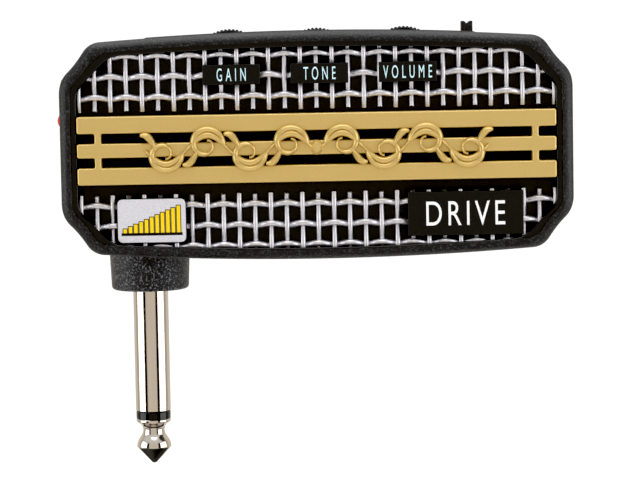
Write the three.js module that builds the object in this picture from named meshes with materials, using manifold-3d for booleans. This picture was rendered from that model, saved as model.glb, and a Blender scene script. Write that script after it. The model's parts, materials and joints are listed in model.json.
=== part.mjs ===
// Plug-in pocket guitar amplifier: a flat case on its own 6.35 mm jack plug.
//
// Everything is laid out in panel coordinates, as the case lies on its back: x to the right,
// y up the face and z out of the face. One group then stands the case up, so that the face
// looks along -Y and the plug points down -Z. The origin is on the plug's axis, in the plane
// of the barrel's end, which seats on the guitar's jack plate. Sizes are in millimetres.

import * as THREE from 'three';
import { mergeVertices } from 'three/addons/utils/BufferGeometryUtils.js';
import Module from 'manifold-3d';

const wasm = await Module();
wasm.setup();

// ---------------------------------------------------------------- driving dimensions

// Case
const caseWidth = 90;
const caseHeight = 40;
const frontDepth = 16;
const rearDepth = 14;
const wall = 2;
const edgeBow = 1.3; // rise of the top and bottom edges at the middle
const cornerX = 6.3; // corner cuts
const cornerY = 7.8;
const cornerRound = 1.4;
const cornerFill = 0.65; // how far a cut's two shoulders reach out over a straight cut
const cornerWaist = 0.15; // how far its middle does
const edgeBevel = 1.8;

// Face opening and what fills it
const bezelSide = 3.05;
const bezelTop = 2.8;
const bezelBottom = 2.1;
const bezelThick = 2.5;
const openingCut = 6.2;
const openingBow = 1;
const backingThick = 1.1;
const meshThick = 1;
const panelHeight = 12;
const panelStand = 0.3; // panel front in front of the bezel
const panelRise = -0.3; // panel centre above the case centre
const barHeight = 3;
const slotHeight = 1.75;
const postWidth = 1.15;
const postInset = 3;
const postSink = 0.15; // posts behind the bars' front
const meshGapAbove = 0.8;
const meshGapBelow = 2;

// Labels and badge
const tagWidth = 10.1;
const tagHeight = 3.55;
const tagThick = 0.7;
const tagShift = 0.4; // tags' centres to the right of their wheels'
const tagDrop = 4.6; // tag centre below the opening's top edge at the middle
const voiceWidth = 20.3;
const voiceHeight = 7.8;
const voiceInset = 5.9;
const badgeWidth = 12.2;
const badgeHeight = 7.9;
const badgeInset = 6.7;
const voiceRise = 5.55; // centres above the opening's bottom edge
const badgeRise = 5.2;

// Plug and barrel
const plugRadius = 3.175;
const plugInset = 14.3; // plug axis from the case's left side
const plugLength = 31.9;
const tipLength = 8.1;
const tipConeLength = 2.9; // the tip's cone, up from its small flat end
const tipPointRadius = 0.35;
const tipBulgeLength = 1.5; // the widest part, above the cone
const tipBulgeEase = 0.15; // the bulge's ends, in from its widest part
const tipPlay = 0.05; // the tip's and ring's widest parts, inside the sleeve's radius
const tipFlange = 0.7;
const tipGrooveRadius = 1.9;
const tipGrooveLength = 0.7;
const tipGrooveTaper = 0.5;
const ringLength = 1.5;
const rodRadius = 0.8;
const insulatorRadius = 1.5;
const shankRadius = 2.9;
const nutRadius = 5;
const nutThick = 1.2;
const stackStep = 0.3; // sleeve, insulator and rod ends, each beyond the one outside it
const lugRadius = 4.6;
const lugReach = 8.4;
const lugWidth = 2;
const lugThick = 0.5;
const barrelEndRadius = 7;
const barrelTopRadius = 7.3;
const barrelLength = 6.1; // barrel end to the lowest point of the case
const barrelNeckRadius = 6;
const barrelSeat = 1.65; // depth of the barrel's seat above the lowest point of the case
const barrelCollarThick = 1.4;
const barrelNeckPlay = 1.2; // neck, shorter than twice the wall
const barrelEdge = 0.4; // chamfers at the barrel's end

// Controls
const wheelRadius = 6.75;
const wheelThick = 3.2;
const wheelSpacing = 1.9; // between two wheels
const wheelStand = 0.6; // wheel above the case's top edge
const wheelRibs = 60;
const ribDepth = 0.28;
const axleRadius = 1.5;
const axleClearance = 0.08;
const wheelShift = 0.3; // middle wheel, right of the case centre
const potSize = 9;
const potFootroom = 0.6; // resistor body beyond its square, and short of the wall
const axleSeat = 0.4; // axle's end behind the wheel's face
const potThick = 2.1;
const stripEnds = 14.7; // strip beyond the three wheels, both ends together
const stripDepth = 9;
const stripThick = 1;
const stripStand = 0.15;
const stripShift = 0.9; // strip, left of the case centre
const scoopLength = 48;
const scoopDepth = 1.6;
const leverWidth = 2;
const leverThick = 2.6;
const leverStand = 1.9;
const leverTravel = 2;
const leverInset = 1.6; // lever's side from half the strip's length
const leverNotch = 0.7;
const switchWidth = 6.2;
const switchDrop = 5;
const switchGap = 0.3; // switch body below the wall
const switchGroove = 1.6;
const switchRim = 1.2; // switch body in front of the lever

// Sockets and light on the left side
const socketRadius = 2.4;
const socketBore = 1.8;
const collarRadius = 3.1;
const collarStand = 1;
const socketLength = 9;
const socketSetback = 2.3; // socket body behind the case's wall
const socketSize = 6;
const headphoneRise = 9.1; // above the case centre
const auxDrop = 7.9; // below the case centre
const ledRadius = 1.5;
const ledRise = 4.8;
const ledStand = 1.2;
const ledLift = 0.6; // lens above the board
const ledLength = 4; // behind the wall's inside
const ledFootLength = 3;
const ledFootRim = 0.2; // foot around the lens

// Batteries
const cellRadius = 5.25;
const cellLength = 44.5;
const cellGap = 0.7;
const cellEdge = 0.4;
const buttonLength = 1;
const buttonRadius = 2;
const buttonEase = 0.2;
const springLength = 2.6;
const springTurns = 3;
const springWideRadius = 3.6;
const springNarrowRadius = 2;
const springWireRadius = 0.3;
const springEnd = 0.4;
const contactThick = 0.4;
const contactHalf = 4;
const tailHalf = 1.5;
const bayWall = 1;
const bayStart = 16.6; // bay's left end from the plug axis
const doorThick = 1.6;
const doorLap = 1.1; // door beyond the bay's opening on each long side
const tongue = 0.9;
const gripGrooves = 4;
const gripStart = 5;
const gripPitch = 1.6;
const gripWidth = 0.8;
const gripHalf = 6;
const gripDepth = 0.5;

// Board and screws
const boardThick = 1.6;
const boardFront = 4; // board's front face in front of the parting plane
const boardInset = 3.4;
const boardNotch = 9; // notch round the plug's rod, right of its axis
const bossRadius = 2.4;
const bossSleeve = 0.6; // rear bosses, wider than the front ones
const screwRadius = 1;
const screwHeadRadius = 1.8;
const screwHeadThick = 1.2;
const screwLength = 18;
const screwSink = 1; // head's back behind the case's back
const screwInset = 4.8; // screw rows from the top and bottom edges
const screwSide = 8.7; // right screws from the right side
const upperScrewGap = 3.45; // upper left screw's boss, left of the first wheel
const lowerScrewGap = 5.05; // lower left screw's boss, right of the barrel
const crossHalf = 1.2;
const crossWidth = 0.5;
const crossDepth = 0.6;
const boardScrewRadius = 0.8;
const boardScrewLength = 3;
const boardScrewHead = 1.6;
const boardScrewInset = 5.5; // from the case's left side
const boardScrewEdge = 6.5; // from the case's right side

// Parts on the board
const chipDrop = 4; // below the case centre
const chipHeight = 4;
const chipThick = 1.5;
const amplifierChipX = 40;
const amplifierChipWidth = 10;
const preampChipX = 24;
const preampChipWidth = 5;
const capacitorDrop = 8; // below the case centre
const capacitorRadius = 2.5;
const capacitorLength = 6;
const capacitorSpots = [20, 32, 48];
const wireRadius = 0.4;

// Clearances
const seat = 0.1; // between pieces that rest on each other
const clearance = 0.15; // around pieces that slide in or fit into each other
const running = 0.3; // around pieces that move

// ---------------------------------------------------------------- derived places

const centreX = caseWidth / 2 - plugInset;
const centreY = barrelLength + caseHeight / 2;
const leftSide = -plugInset;
const topEdge = barrelLength + caseHeight;
const openingHalfX = caseWidth / 2 - bezelSide;
const openingTop = topEdge - bezelTop;
const openingBottom = barrelLength + bezelBottom;
const openingHalfY = (openingTop - openingBottom) / 2;
const openingY = (openingTop + openingBottom) / 2;
const bezelBack = frontDepth - bezelThick;
const meshBack = bezelBack + seat;
const meshFront = meshBack + meshThick;
const panelY = centreY + panelRise;
const wheelY = topEdge + wheelStand - wheelRadius;
const potBack = boardFront + seat;
const wheelBack = potBack + potThick + running;
const wheelFront = wheelBack + wheelThick;
const stripMid = (wheelBack + wheelFront) / 2;
const boardBack = boardFront - boardThick;
const bayHalfY = 2 * cellRadius + cellGap / 2 + clearance;
const bayLength = contactThick * 2 + springLength + cellLength + 4 * seat;
const bayEnd = bayStart + bayLength;
const doorBack = -rearDepth;
const doorFront = doorBack + doorThick;
const cellZ = doorFront + clearance + cellRadius;
const bayFloor = cellZ + cellRadius + clearance;
const doorHalfY = bayHalfY + doorLap;
const doorStart = bayStart - doorLap;
const socketZ = boardBack - seat - socketSize / 2;
const controlPitch = 2 * wheelRadius + wheelSpacing;
const stripLength = 2 * controlPitch + 2 * wheelRadius + stripEnds;
const switchX = centreX + stripLength / 2 - leverWidth / 2 - leverInset;
const wheels = [-1, 0, 1].map((step) => centreX + wheelShift + step * controlPitch);
const rightSide = leftSide + caseWidth;
const screwRow = caseHeight / 2 - screwInset;
const screwSpots = [
  [wheels[0] - wheelRadius - bossRadius - upperScrewGap, 1],
  [rightSide - screwSide, 1],
  [barrelTopRadius + bossRadius + lowerScrewGap + clearance, -1],
  [rightSide - screwSide, -1],
];

// ---------------------------------------------------------------- materials

const finish = (color, roughness, metalness = 0) =>
  new THREE.MeshStandardMaterial({ color, roughness, metalness });
const blackPlastic = () => finish(0x2b2b2d, 0.6);
const speckledPlastic = () => finish(0x2a2a2c, 0.7);
const goldPaint = () => finish(0xcdb06c, 0.45, 0.4);
const wireSteel = () => finish(0xc4c2ca, 0.3, 0.9);
const nickel = () => finish(0xc9c4bb, 0.15, 1);
const springSteel = () => finish(0xb5b8bc, 0.3, 1);
const tagPlastic = () => finish(0x0e0e10, 0.5);
const labelSilver = () => finish(0xcbccd1, 0.35, 0.6);
const rubber = () => finish(0x1d1d1f, 0.85);
const redLens = () => finish(0xc01a18, 0.2);
const fibreBoard = () => finish(0x1f5a34, 0.5);
const chipResin = () => finish(0x18181a, 0.6);
const potResin = () => finish(0x3a3f46, 0.5);
const foilSleeve = () => finish(0x2f5f8f, 0.35, 0.2);

// ---------------------------------------------------------------- helpers

function toSolid(geometry) {
  const plain = geometry.index ? geometry.toNonIndexed() : geometry.clone();
  plain.deleteAttribute('normal');
  plain.deleteAttribute('uv');
  const welded = mergeVertices(plain, 1e-4);
  const vertProperties = new Float32Array(welded.attributes.position.array);
  const triVerts = new Uint32Array(welded.index.array);
  return new wasm.Manifold(new wasm.Mesh({ numProp: 3, vertProperties, triVerts }));
}

function toGeometry(solid) {
  const { vertProperties, triVerts } = solid.getMesh();
  const geometry = new THREE.BufferGeometry();
  geometry.setAttribute('position', new THREE.BufferAttribute(vertProperties, 3));
  geometry.setIndex(new THREE.BufferAttribute(triVerts, 1));
  geometry.computeVertexNormals();
  return geometry;
}

// A block from its lowest to its highest corner.
function block(low, high) {
  const size = high.map((value, axis) => value - low[axis]);
  const middle = high.map((value, axis) => (value + low[axis]) / 2);
  return toSolid(new THREE.BoxGeometry(...size).translate(...middle));
}

// A round rod along x, y or z, from one value to another, at the other two coordinates.
function rod(axis, radius, from, to, first, second, sides = 20) {
  const geometry = new THREE.CylinderGeometry(radius, radius, to - from, sides);
  const middle = (from + to) / 2;
  if (axis === 'x') geometry.rotateZ(Math.PI / 2).translate(middle, first, second);
  if (axis === 'y') geometry.translate(first, middle, second);
  if (axis === 'z') geometry.rotateX(Math.PI / 2).translate(first, second, middle);
  return toSolid(geometry);
}

// An outline about its centre: corner cuts with two shoulders and a waist, and top and bottom
// edges that bow out. Each cut is a smooth curve through the middles between its control points.
function outline(halfX, halfY, cutX, cutY, bow, fill) {
  const edgeX = halfX - cutX;
  const edgeY = halfY - bow;
  const sideY = edgeY - cutY;
  const cut = Math.hypot(cutX, cutY);
  const side = new THREE.Vector2(halfX, sideY - cornerRound);
  const sideShoulder = new THREE.Vector2(halfX, sideY + fill * cut / cutX);
  const waist = new THREE.Vector2(cutY, cutX).setLength(cornerWaist)
    .add(new THREE.Vector2(halfX - cutX / 2, edgeY - cutY / 2));
  const edgeShoulder = new THREE.Vector2(edgeX + fill * cut / cutY, edgeY);
  const edge = new THREE.Vector2(edgeX - cornerRound, edgeY);
  const upwards = [sideShoulder, sideShoulder.clone().lerp(waist, 0.5), waist,
    waist.clone().lerp(edgeShoulder, 0.5), edgeShoulder, edge];
  const downwards = [...upwards.slice(0, -1).reverse(), side];
  const shape = new THREE.Shape();
  const follow = (points, signX, signY) => {
    for (let step = 0; step < points.length; step += 2) {
      const control = points[step];
      const end = points[step + 1];
      shape.quadraticCurveTo(signX * control.x, signY * control.y, signX * end.x, signY * end.y);
    }
  };
  shape.moveTo(-edge.x, -edge.y);
  shape.quadraticCurveTo(0, -halfY - bow, edge.x, -edge.y);
  follow(downwards, 1, -1);
  shape.lineTo(side.x, side.y);
  follow(upwards, 1, 1);
  shape.quadraticCurveTo(0, halfY + bow, -edge.x, edge.y);
  follow(downwards, -1, 1);
  shape.lineTo(-side.x, -side.y);
  follow(upwards, -1, -1);
  return shape;
}

// The case's outline moved in by an inset, as a slab between two depths.
function caseSlab(inset, from, to, bevel = 0) {
  const shape = outline(caseWidth / 2 - inset, caseHeight / 2 - inset,
    cornerX - inset / 3, cornerY - inset / 3, edgeBow, cornerFill);
  const options = { depth: to - from - 2 * bevel, curveSegments: 4, bevelEnabled: bevel > 0,
    bevelThickness: bevel, bevelSize: bevel, bevelOffset: -bevel, bevelSegments: 2 };
  return toSolid(new THREE.ExtrudeGeometry(shape, options)
    .translate(centreX, centreY, from + bevel));
}

function openingSlab(inset, from, to) {
  const shape = outline(openingHalfX - inset, openingHalfY - inset, openingCut, openingCut,
    openingBow, 0);
  const options = { depth: to - from, curveSegments: 4, bevelEnabled: false };
  return toSolid(new THREE.ExtrudeGeometry(shape, options).translate(centreX, openingY, from));
}

// A plate with round corners about its own centre, from z = 0 to its thickness.
function roundPlate(width, height, thickness, corner) {
  const shape = new THREE.Shape();
  const x = width / 2 - corner;
  const y = height / 2 - corner;
  shape.absarc(x, y, corner, 0, Math.PI / 2);
  shape.absarc(-x, y, corner, Math.PI / 2, Math.PI);
  shape.absarc(-x, -y, corner, Math.PI, Math.PI * 1.5);
  shape.absarc(x, -y, corner, Math.PI * 1.5, Math.PI * 2);
  return new THREE.ExtrudeGeometry(shape,
    { depth: thickness, curveSegments: 4, bevelEnabled: false });
}

// A turned piece about the y axis, from [radius, y] points.
const turned = (points, sides = 24) =>
  new THREE.LatheGeometry(points.map(([radius, y]) => new THREE.Vector2(radius, y)), sides);

const amplifier = new THREE.Group();
const panel = new THREE.Group();
panel.rotation.x = Math.PI / 2;
amplifier.add(panel);

function add(name, shape, material, x = 0, y = 0, z = 0) {
  const geometry = shape.isBufferGeometry ? shape : toGeometry(shape);
  const mesh = new THREE.Mesh(geometry, material);
  mesh.name = name;
  mesh.position.set(x, y, z);
  panel.add(mesh);
  return mesh;
}

// ---------------------------------------------------------------- cuts shared by both shells

// The barrel's neck and seat, the sockets, and the light, cut from both halves alike.
function commonCuts(shell) {
  const seatY = barrelLength + barrelSeat + seat;
  const sockets = [centreY + headphoneRise, centreY - auxDrop];
  let result = shell
    .subtract(rod('y', barrelTopRadius + clearance, -1, seatY, 0, 0, 24))
    .subtract(rod('y', barrelNeckRadius + clearance, seatY - 1, seatY + 2 * wall, 0, 0, 24));
  for (const y of sockets) {
    result = result.subtract(
      rod('x', socketRadius + clearance, leftSide - 1, leftSide + 2 * wall, y, socketZ));
  }
  return result;
}

// ---------------------------------------------------------------- shells

// A band of the case's top wall between two distances from its outline, cut to a box.
function topBand(outer, inner, lowX, highX, lowZ, highZ) {
  return caseSlab(outer, lowZ, highZ)
    .subtract(caseSlab(inner, lowZ - 1, highZ + 1))
    .intersect(block([lowX, centreY, lowZ - 1], [highX, topEdge + wall, highZ + 1]));
}

const stripLow = centreX - stripLength / 2 - stripShift;
const stripHigh = stripLow + stripLength;
const stripBack = stripMid - stripDepth / 2;
const stripFront = stripMid + stripDepth / 2;
const bossReach = bezelBack - backingThick - 2 * seat;

// Half the length of a wheel's slot, where the wheel is widest inside the wall.
const slotHalf = Math.sqrt(wheelRadius ** 2 - (topEdge - wall - edgeBow - wheelY) ** 2) + running;

function controlSlots(solid) {
  let result = solid;
  for (const x of wheels) {
    result = result.subtract(block(
      [x - slotHalf, topEdge - wall - edgeBow - 1, wheelBack - running],
      [x + slotHalf, topEdge + wall, wheelFront + running]));
  }
  const leverZ = stripMid;
  return result.subtract(block(
    [switchX - leverWidth / 2 - leverTravel - running, topEdge - wall - edgeBow - 1,
      leverZ - leverThick / 2 - running],
    [switchX + leverWidth / 2 + running, topEdge + wall, leverZ + leverThick / 2 + running]));
}

function makeFrontShell() {
  let shell = caseSlab(0, -edgeBevel * 2, frontDepth, edgeBevel)
    .intersect(block([leftSide - 1, 0, 0], [rightSide + 1, topEdge + 1, frontDepth]))
    .subtract(caseSlab(wall, -1, bezelBack))
    .subtract(openingSlab(0, bezelBack - 1, frontDepth + 1));
  for (const [x, side] of screwSpots) {
    const y = centreY + side * screwRow;
    const rib = side > 0 ? block([x - 1, y, 0], [x + 1, topEdge, bossReach])
      : block([x - 1, barrelLength, 0], [x + 1, y, bossReach]);
    const post = rod('z', bossRadius, 0, bossReach, x, y).add(rib)
      .intersect(caseSlab(wall / 2, 0, bossReach));
    shell = shell.add(post);
  }
  for (const [x, side] of screwSpots) {
    shell = shell.subtract(
      rod('z', screwRadius + clearance, -1, bossReach - 2, x, centreY + side * screwRow));
  }
  shell = commonCuts(shell)
    .subtract(rod('x', ledRadius + clearance, leftSide - 1, leftSide + wall + 1,
      centreY + ledRise, boardFront + ledRadius + ledLift))
    .subtract(topBand(-1, stripThick, stripLow - clearance, stripHigh + clearance,
      stripBack - clearance, stripFront + clearance))
    .subtract(topBand(-1, stripThick, centreX - scoopLength / 2, centreX + scoopLength / 2,
      stripFront, stripFront + scoopDepth));
  return controlSlots(shell);
}

function makeControlStrip() {
  return controlSlots(topBand(-stripStand, stripThick - seat, stripLow, stripHigh, stripBack,
    stripFront));
}

// The battery door's slab: the back skin of the case from the bay to the right side.
function doorSlab(growth, tongueGrowth) {
  const skin = block([doorStart - growth, centreY - doorHalfY - growth, doorBack - 1],
    [rightSide + 1, centreY + doorHalfY + growth, doorFront + growth]);
  const reach = doorHalfY + tongue + tongueGrowth;
  const tongues = block(
    [doorStart + tongue - tongueGrowth, centreY - reach, doorFront - doorThick / 2 - tongueGrowth],
    [rightSide + 1, centreY + reach, doorFront + tongueGrowth]);
  return skin.add(tongues);
}

function makeRearShell() {
  const outer = caseSlab(0, -rearDepth, edgeBevel * 2, edgeBevel)
    .intersect(block([leftSide - 1, 0, -rearDepth], [rightSide + 1, topEdge + 1, 0]));
  const bay = block(
    [bayStart - bayWall, centreY - bayHalfY - bayWall, -rearDepth + wall / 2],
    [bayEnd + bayWall, centreY + bayHalfY + bayWall, bayFloor + bayWall]);
  const hollow = block([bayStart, centreY - bayHalfY, -rearDepth - 1],
    [bayEnd, centreY + bayHalfY, bayFloor]);
  let shell = outer.subtract(caseSlab(wall, -rearDepth + wall, 1)).add(bay);
  for (const [x, side] of screwSpots) {
    shell = shell.add(rod('z', bossRadius + bossSleeve, -rearDepth + wall / 2, -seat, x,
      centreY + side * screwRow).intersect(caseSlab(wall / 2, -rearDepth, 0)));
  }
  shell = shell.subtract(hollow).subtract(doorSlab(clearance, clearance));
  for (const [x, side] of screwSpots) {
    const y = centreY + side * screwRow;
    shell = shell
      .subtract(rod('z', screwRadius + clearance, -rearDepth - 1, 1, x, y))
      .subtract(rod('z', screwHeadRadius + clearance, -rearDepth - 1,
        -rearDepth + screwHeadThick + screwSink, x, y));
  }
  const slotY = cellRadius + cellGap / 2;
  for (const side of [-1, 1]) {
    shell = shell.subtract(block(
      [bayStart - seat, centreY + side * slotY - tailHalf - clearance, cellZ],
      [bayStart + contactThick + 2 * seat, centreY + side * slotY + tailHalf + clearance, 1]));
  }
  return commonCuts(shell);
}

function makeBatteryDoor() {
  let door = caseSlab(0, -rearDepth, edgeBevel * 2, edgeBevel)
    .intersect(doorSlab(0, 0))
    .intersect(block([doorStart, barrelLength, -rearDepth], [rightSide, topEdge, doorFront]));
  for (let groove = 0; groove < gripGrooves; groove += 1) {
    const x = doorStart + gripStart + groove * gripPitch;
    door = door.subtract(block([x, centreY - gripHalf, doorBack - 1],
      [x + gripWidth, centreY + gripHalf, doorBack + gripDepth]));
  }
  return door;
}

add('front_shell', makeFrontShell(), blackPlastic());
add('rear_shell', makeRearShell(), blackPlastic());
add('battery_door', makeBatteryDoor(), blackPlastic());
add('control_strip', makeControlStrip(), rubber());

// ---------------------------------------------------------------- face

function makeBacking() {
  return caseSlab(wall + clearance, bezelBack - seat - backingThick, bezelBack - seat);
}

function makeMesh(upper) {
  const split = upper ? panelY + panelHeight / 2 + meshGapAbove
    : panelY - panelHeight / 2 - meshGapBelow;
  const low = upper ? split : 0;
  const high = upper ? topEdge : split;
  return openingSlab(clearance, meshBack, meshFront)
    .intersect(block([leftSide, low, 0], [rightSide, high, frontDepth]));
}

function makePanel() {
  const halfX = openingHalfX - clearance;
  const depth = frontDepth + panelStand - meshBack;
  const step = barHeight + slotHeight;
  let result = null;
  for (const row of [-1, 0, 1]) {
    const height = row === 0 ? panelHeight - 2 * barHeight - 2 * slotHeight : barHeight;
    const y = panelY + row * (panelHeight - barHeight) / 2;
    const bar = toSolid(roundPlate(2 * halfX, height, depth, 0.5).translate(centreX, y,
      meshBack));
    result = result ? result.add(bar) : bar;
  }
  for (const side of [-1, 1]) {
    const x = centreX + side * (halfX - postInset - postWidth / 2);
    result = result.add(block([x - postWidth / 2, panelY - step, meshBack + postSink],
      [x + postWidth / 2, panelY + step, frontDepth + panelStand - postSink]));
  }
  return result;
}

add('grille_backing', makeBacking(), tagPlastic());
add('upper_grille', makeMesh(true), wireSteel());
add('lower_grille', makeMesh(false), wireSteel());
add('trim_panel', makePanel(), goldPaint());

const tagBack = meshFront + seat;
['gain_tag', 'tone_tag', 'volume_tag'].forEach((name, index) => {
  add(name, new THREE.BoxGeometry(tagWidth, tagHeight, tagThick), tagPlastic(),
    wheels[index] + tagShift, openingTop - tagDrop, tagBack + tagThick / 2);
});
add('voice_tag', new THREE.BoxGeometry(voiceWidth, voiceHeight, tagThick), tagPlastic(),
  centreX + openingHalfX - voiceInset - voiceWidth / 2, openingBottom + voiceRise,
  tagBack + tagThick / 2);
add('badge', roundPlate(badgeWidth, badgeHeight, tagThick, 1), labelSilver(),
  centreX - openingHalfX + badgeInset + badgeWidth / 2, openingBottom + badgeRise,
  tagBack);

// ---------------------------------------------------------------- barrel and plug

const barrelTop = barrelLength + barrelSeat;
const neckTop = barrelTop + 2 * wall - barrelNeckPlay;
const collarTop = neckTop + barrelCollarThick;
const tipStart = -plugLength + tipLength;
const nutStart = collarTop + lugThick + 2 * seat;
const sleeveTop = nutStart + nutThick + stackStep;
const insulatorTop = sleeveTop + stackStep;
const rodTop = insulatorTop + stackStep;
const tipRadius = plugRadius - tipPlay;
const coneEnd = -plugLength + tipConeLength;
const bulgeEnd = coneEnd + tipBulgeLength;

add('jack_barrel', turned([
  [shankRadius + seat, barrelEdge],
  [plugRadius + clearance, 0],
  [barrelEndRadius - barrelEdge, 0],
  [barrelEndRadius, barrelEdge],
  [barrelTopRadius, barrelTop],
  [barrelNeckRadius, barrelTop],
  [barrelNeckRadius, neckTop],
  [barrelTopRadius, neckTop],
  [barrelTopRadius, collarTop],
  [shankRadius + seat, collarTop],
  [shankRadius + seat, barrelEdge],
]), speckledPlastic());

add('plug_sleeve', turned([
  [insulatorRadius + seat, tipStart + ringLength],
  [plugRadius, tipStart + ringLength],
  [plugRadius, -seat],
  [shankRadius, -seat],
  [shankRadius, sleeveTop],
  [insulatorRadius + seat, sleeveTop],
  [insulatorRadius + seat, tipStart + ringLength],
]), nickel());

add('plug_insulator', turned([
  [rodRadius + seat, tipStart + seat],
  [tipRadius, tipStart + seat],
  [tipRadius, tipStart + ringLength - seat],
  [insulatorRadius, tipStart + ringLength - seat],
  [insulatorRadius, insulatorTop],
  [rodRadius + seat, insulatorTop],
  [rodRadius + seat, tipStart + seat],
]), tagPlastic());

add('plug_tip', turned([
  [0, -plugLength],
  [tipPointRadius, -plugLength],
  [tipRadius - tipBulgeEase, coneEnd],
  [tipRadius, (coneEnd + bulgeEnd) / 2],
  [tipRadius - tipBulgeEase, bulgeEnd],
  [tipGrooveRadius, tipStart - tipFlange - tipGrooveTaper - tipGrooveLength],
  [tipGrooveRadius + seat, tipStart - tipFlange - tipGrooveTaper],
  [tipRadius, tipStart - tipFlange],
  [tipRadius, tipStart],
  [rodRadius, tipStart],
  [rodRadius, rodTop],
  [0, rodTop],
]), nickel());

const nut = toSolid(new THREE.CylinderGeometry(nutRadius, nutRadius, nutThick, 6))
  .subtract(rod('y', shankRadius + seat, -nutThick, nutThick, 0, 0));
add('plug_nut', nut, nickel(), 0, nutStart + nutThick / 2, 0);

const lug = rod('y', lugRadius, 0, lugThick, 0, 0)
  .add(block([0, 0, -lugWidth / 2], [lugReach, lugThick, lugWidth / 2]))
  .subtract(rod('y', shankRadius + seat, -lugThick, 2 * lugThick, 0, 0));
add('ground_lug', lug, springSteel(), 0, collarTop + seat, 0);

// ---------------------------------------------------------------- controls

function makeWheel() {
  const shape = new THREE.Shape();
  for (let rib = 0; rib < wheelRibs; rib += 1) {
    const turn = (rib / wheelRibs) * 2 * Math.PI;
    const half = Math.PI / wheelRibs;
    const low = wheelRadius - ribDepth;
    if (rib === 0) shape.moveTo(wheelRadius, 0);
    else shape.lineTo(wheelRadius * Math.cos(turn), wheelRadius * Math.sin(turn));
    shape.lineTo(low * Math.cos(turn + half), low * Math.sin(turn + half));
  }
  const bore = new THREE.Path();
  bore.absarc(0, 0, axleRadius + axleClearance, 0, 2 * Math.PI, true);
  shape.holes.push(bore);
  return new THREE.ExtrudeGeometry(shape,
    { depth: wheelThick, curveSegments: 12, bevelEnabled: false });
}

function makePot() {
  const low = -potSize / 2;
  const top = wheelRadius - wheelStand - wall - edgeBow - potFootroom;
  return block([low, low - potFootroom, 0], [-low, top, potThick])
    .add(rod('z', axleRadius, potThick / 2, potThick + running + wheelThick - axleSeat, 0, 0));
}

['gain', 'tone', 'volume'].forEach((name, index) => {
  add(`${name}_wheel`, makeWheel(), rubber(), wheels[index], wheelY, wheelBack);
  add(`${name}_pot`, makePot(), potResin(), wheels[index], wheelY, potBack);
});

const switchTop = topEdge - wall - edgeBow - switchGap;
const switchBottom = switchTop - switchDrop;
const switchBack = boardFront + seat;
const switchFront = stripMid + leverThick / 2 + switchRim;
const switchMiddle = switchX - leverTravel / 2;
const switchBody = block([switchMiddle - switchWidth / 2, switchBottom, switchBack],
  [switchMiddle + switchWidth / 2, switchTop, switchFront])
  .subtract(block(
    [switchX - leverWidth / 2 - leverTravel - running, switchTop - switchGroove,
      stripMid - leverThick / 2 - clearance],
    [switchX + leverWidth / 2 + running, switchTop + 1, stripMid + leverThick / 2 + clearance]));
add('switch_body', switchBody, springSteel());

// The lever: a stem with a notch across its top, between two finger ridges.
const leverBottom = switchTop - switchGroove + clearance;
const surfaceAtLever = topEdge - edgeBow * ((switchX - centreX) / (caseWidth / 2 - cornerX)) ** 2;
const leverTop = surfaceAtLever + leverStand;
const leverShape = new THREE.Shape();
leverShape.moveTo(-leverWidth / 2, leverBottom);
leverShape.lineTo(leverWidth / 2, leverBottom);
leverShape.lineTo(leverWidth / 2, leverTop);
leverShape.lineTo(leverWidth / 4, leverTop);
leverShape.lineTo(0, leverTop - leverNotch);
leverShape.lineTo(-leverWidth / 4, leverTop);
leverShape.lineTo(-leverWidth / 2, leverTop);
add('power_lever', new THREE.ExtrudeGeometry(leverShape,
  { depth: leverThick, bevelEnabled: false }), blackPlastic(), switchX, 0,
stripMid - leverThick / 2);

// ---------------------------------------------------------------- sockets and light

function makeSocket() {
  const inner = wall + socketSetback;
  return block([inner, -socketSize / 2, -socketSize / 2],
    [inner + socketLength, socketSize / 2, socketSize / 2])
    .add(rod('x', socketRadius, -collarStand, inner + 1, 0, 0))
    .subtract(rod('x', socketBore, -collarStand - 1, inner + socketLength - 1, 0, 0));
}

function makeCollar() {
  return rod('x', collarRadius, -collarStand, -seat, 0, 0)
    .subtract(rod('x', socketRadius + seat, -collarStand - 1, 1, 0, 0));
}

[['headphone', headphoneRise], ['aux', -auxDrop]].forEach(([name, rise]) => {
  add(`${name}_jack`, makeSocket(), chipResin(), leftSide, centreY + rise, socketZ);
  add(`${name}_collar`, makeCollar(), rubber(), leftSide, centreY + rise, socketZ);
});

// The light: a round lens on a square foot that stands on the board.
const ledZ = ledRadius + ledLift;
const lens = toSolid(turned([
  [0, -ledLength],
  [ledRadius, -ledLength],
  [ledRadius, wall + ledStand - ledRadius],
  [ledRadius * 0.87, wall + ledStand - ledRadius / 2],
  [ledRadius / 2, wall + ledStand - ledRadius * 0.13],
  [0, wall + ledStand],
], 16).rotateZ(Math.PI / 2));
const footHalf = ledRadius + ledFootRim;
const foot = block([ledLength - ledFootLength, -footHalf, -ledZ + seat],
  [ledLength, footHalf, footHalf]);
add('power_led', lens.add(foot), redLens(), leftSide + wall, centreY + ledRise,
  boardFront + ledZ);

// ---------------------------------------------------------------- board and what it carries

const boardScrewSpots = [
  [leftSide + boardScrewInset, centreY],
  [rightSide - boardScrewEdge, centreY],
];

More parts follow.
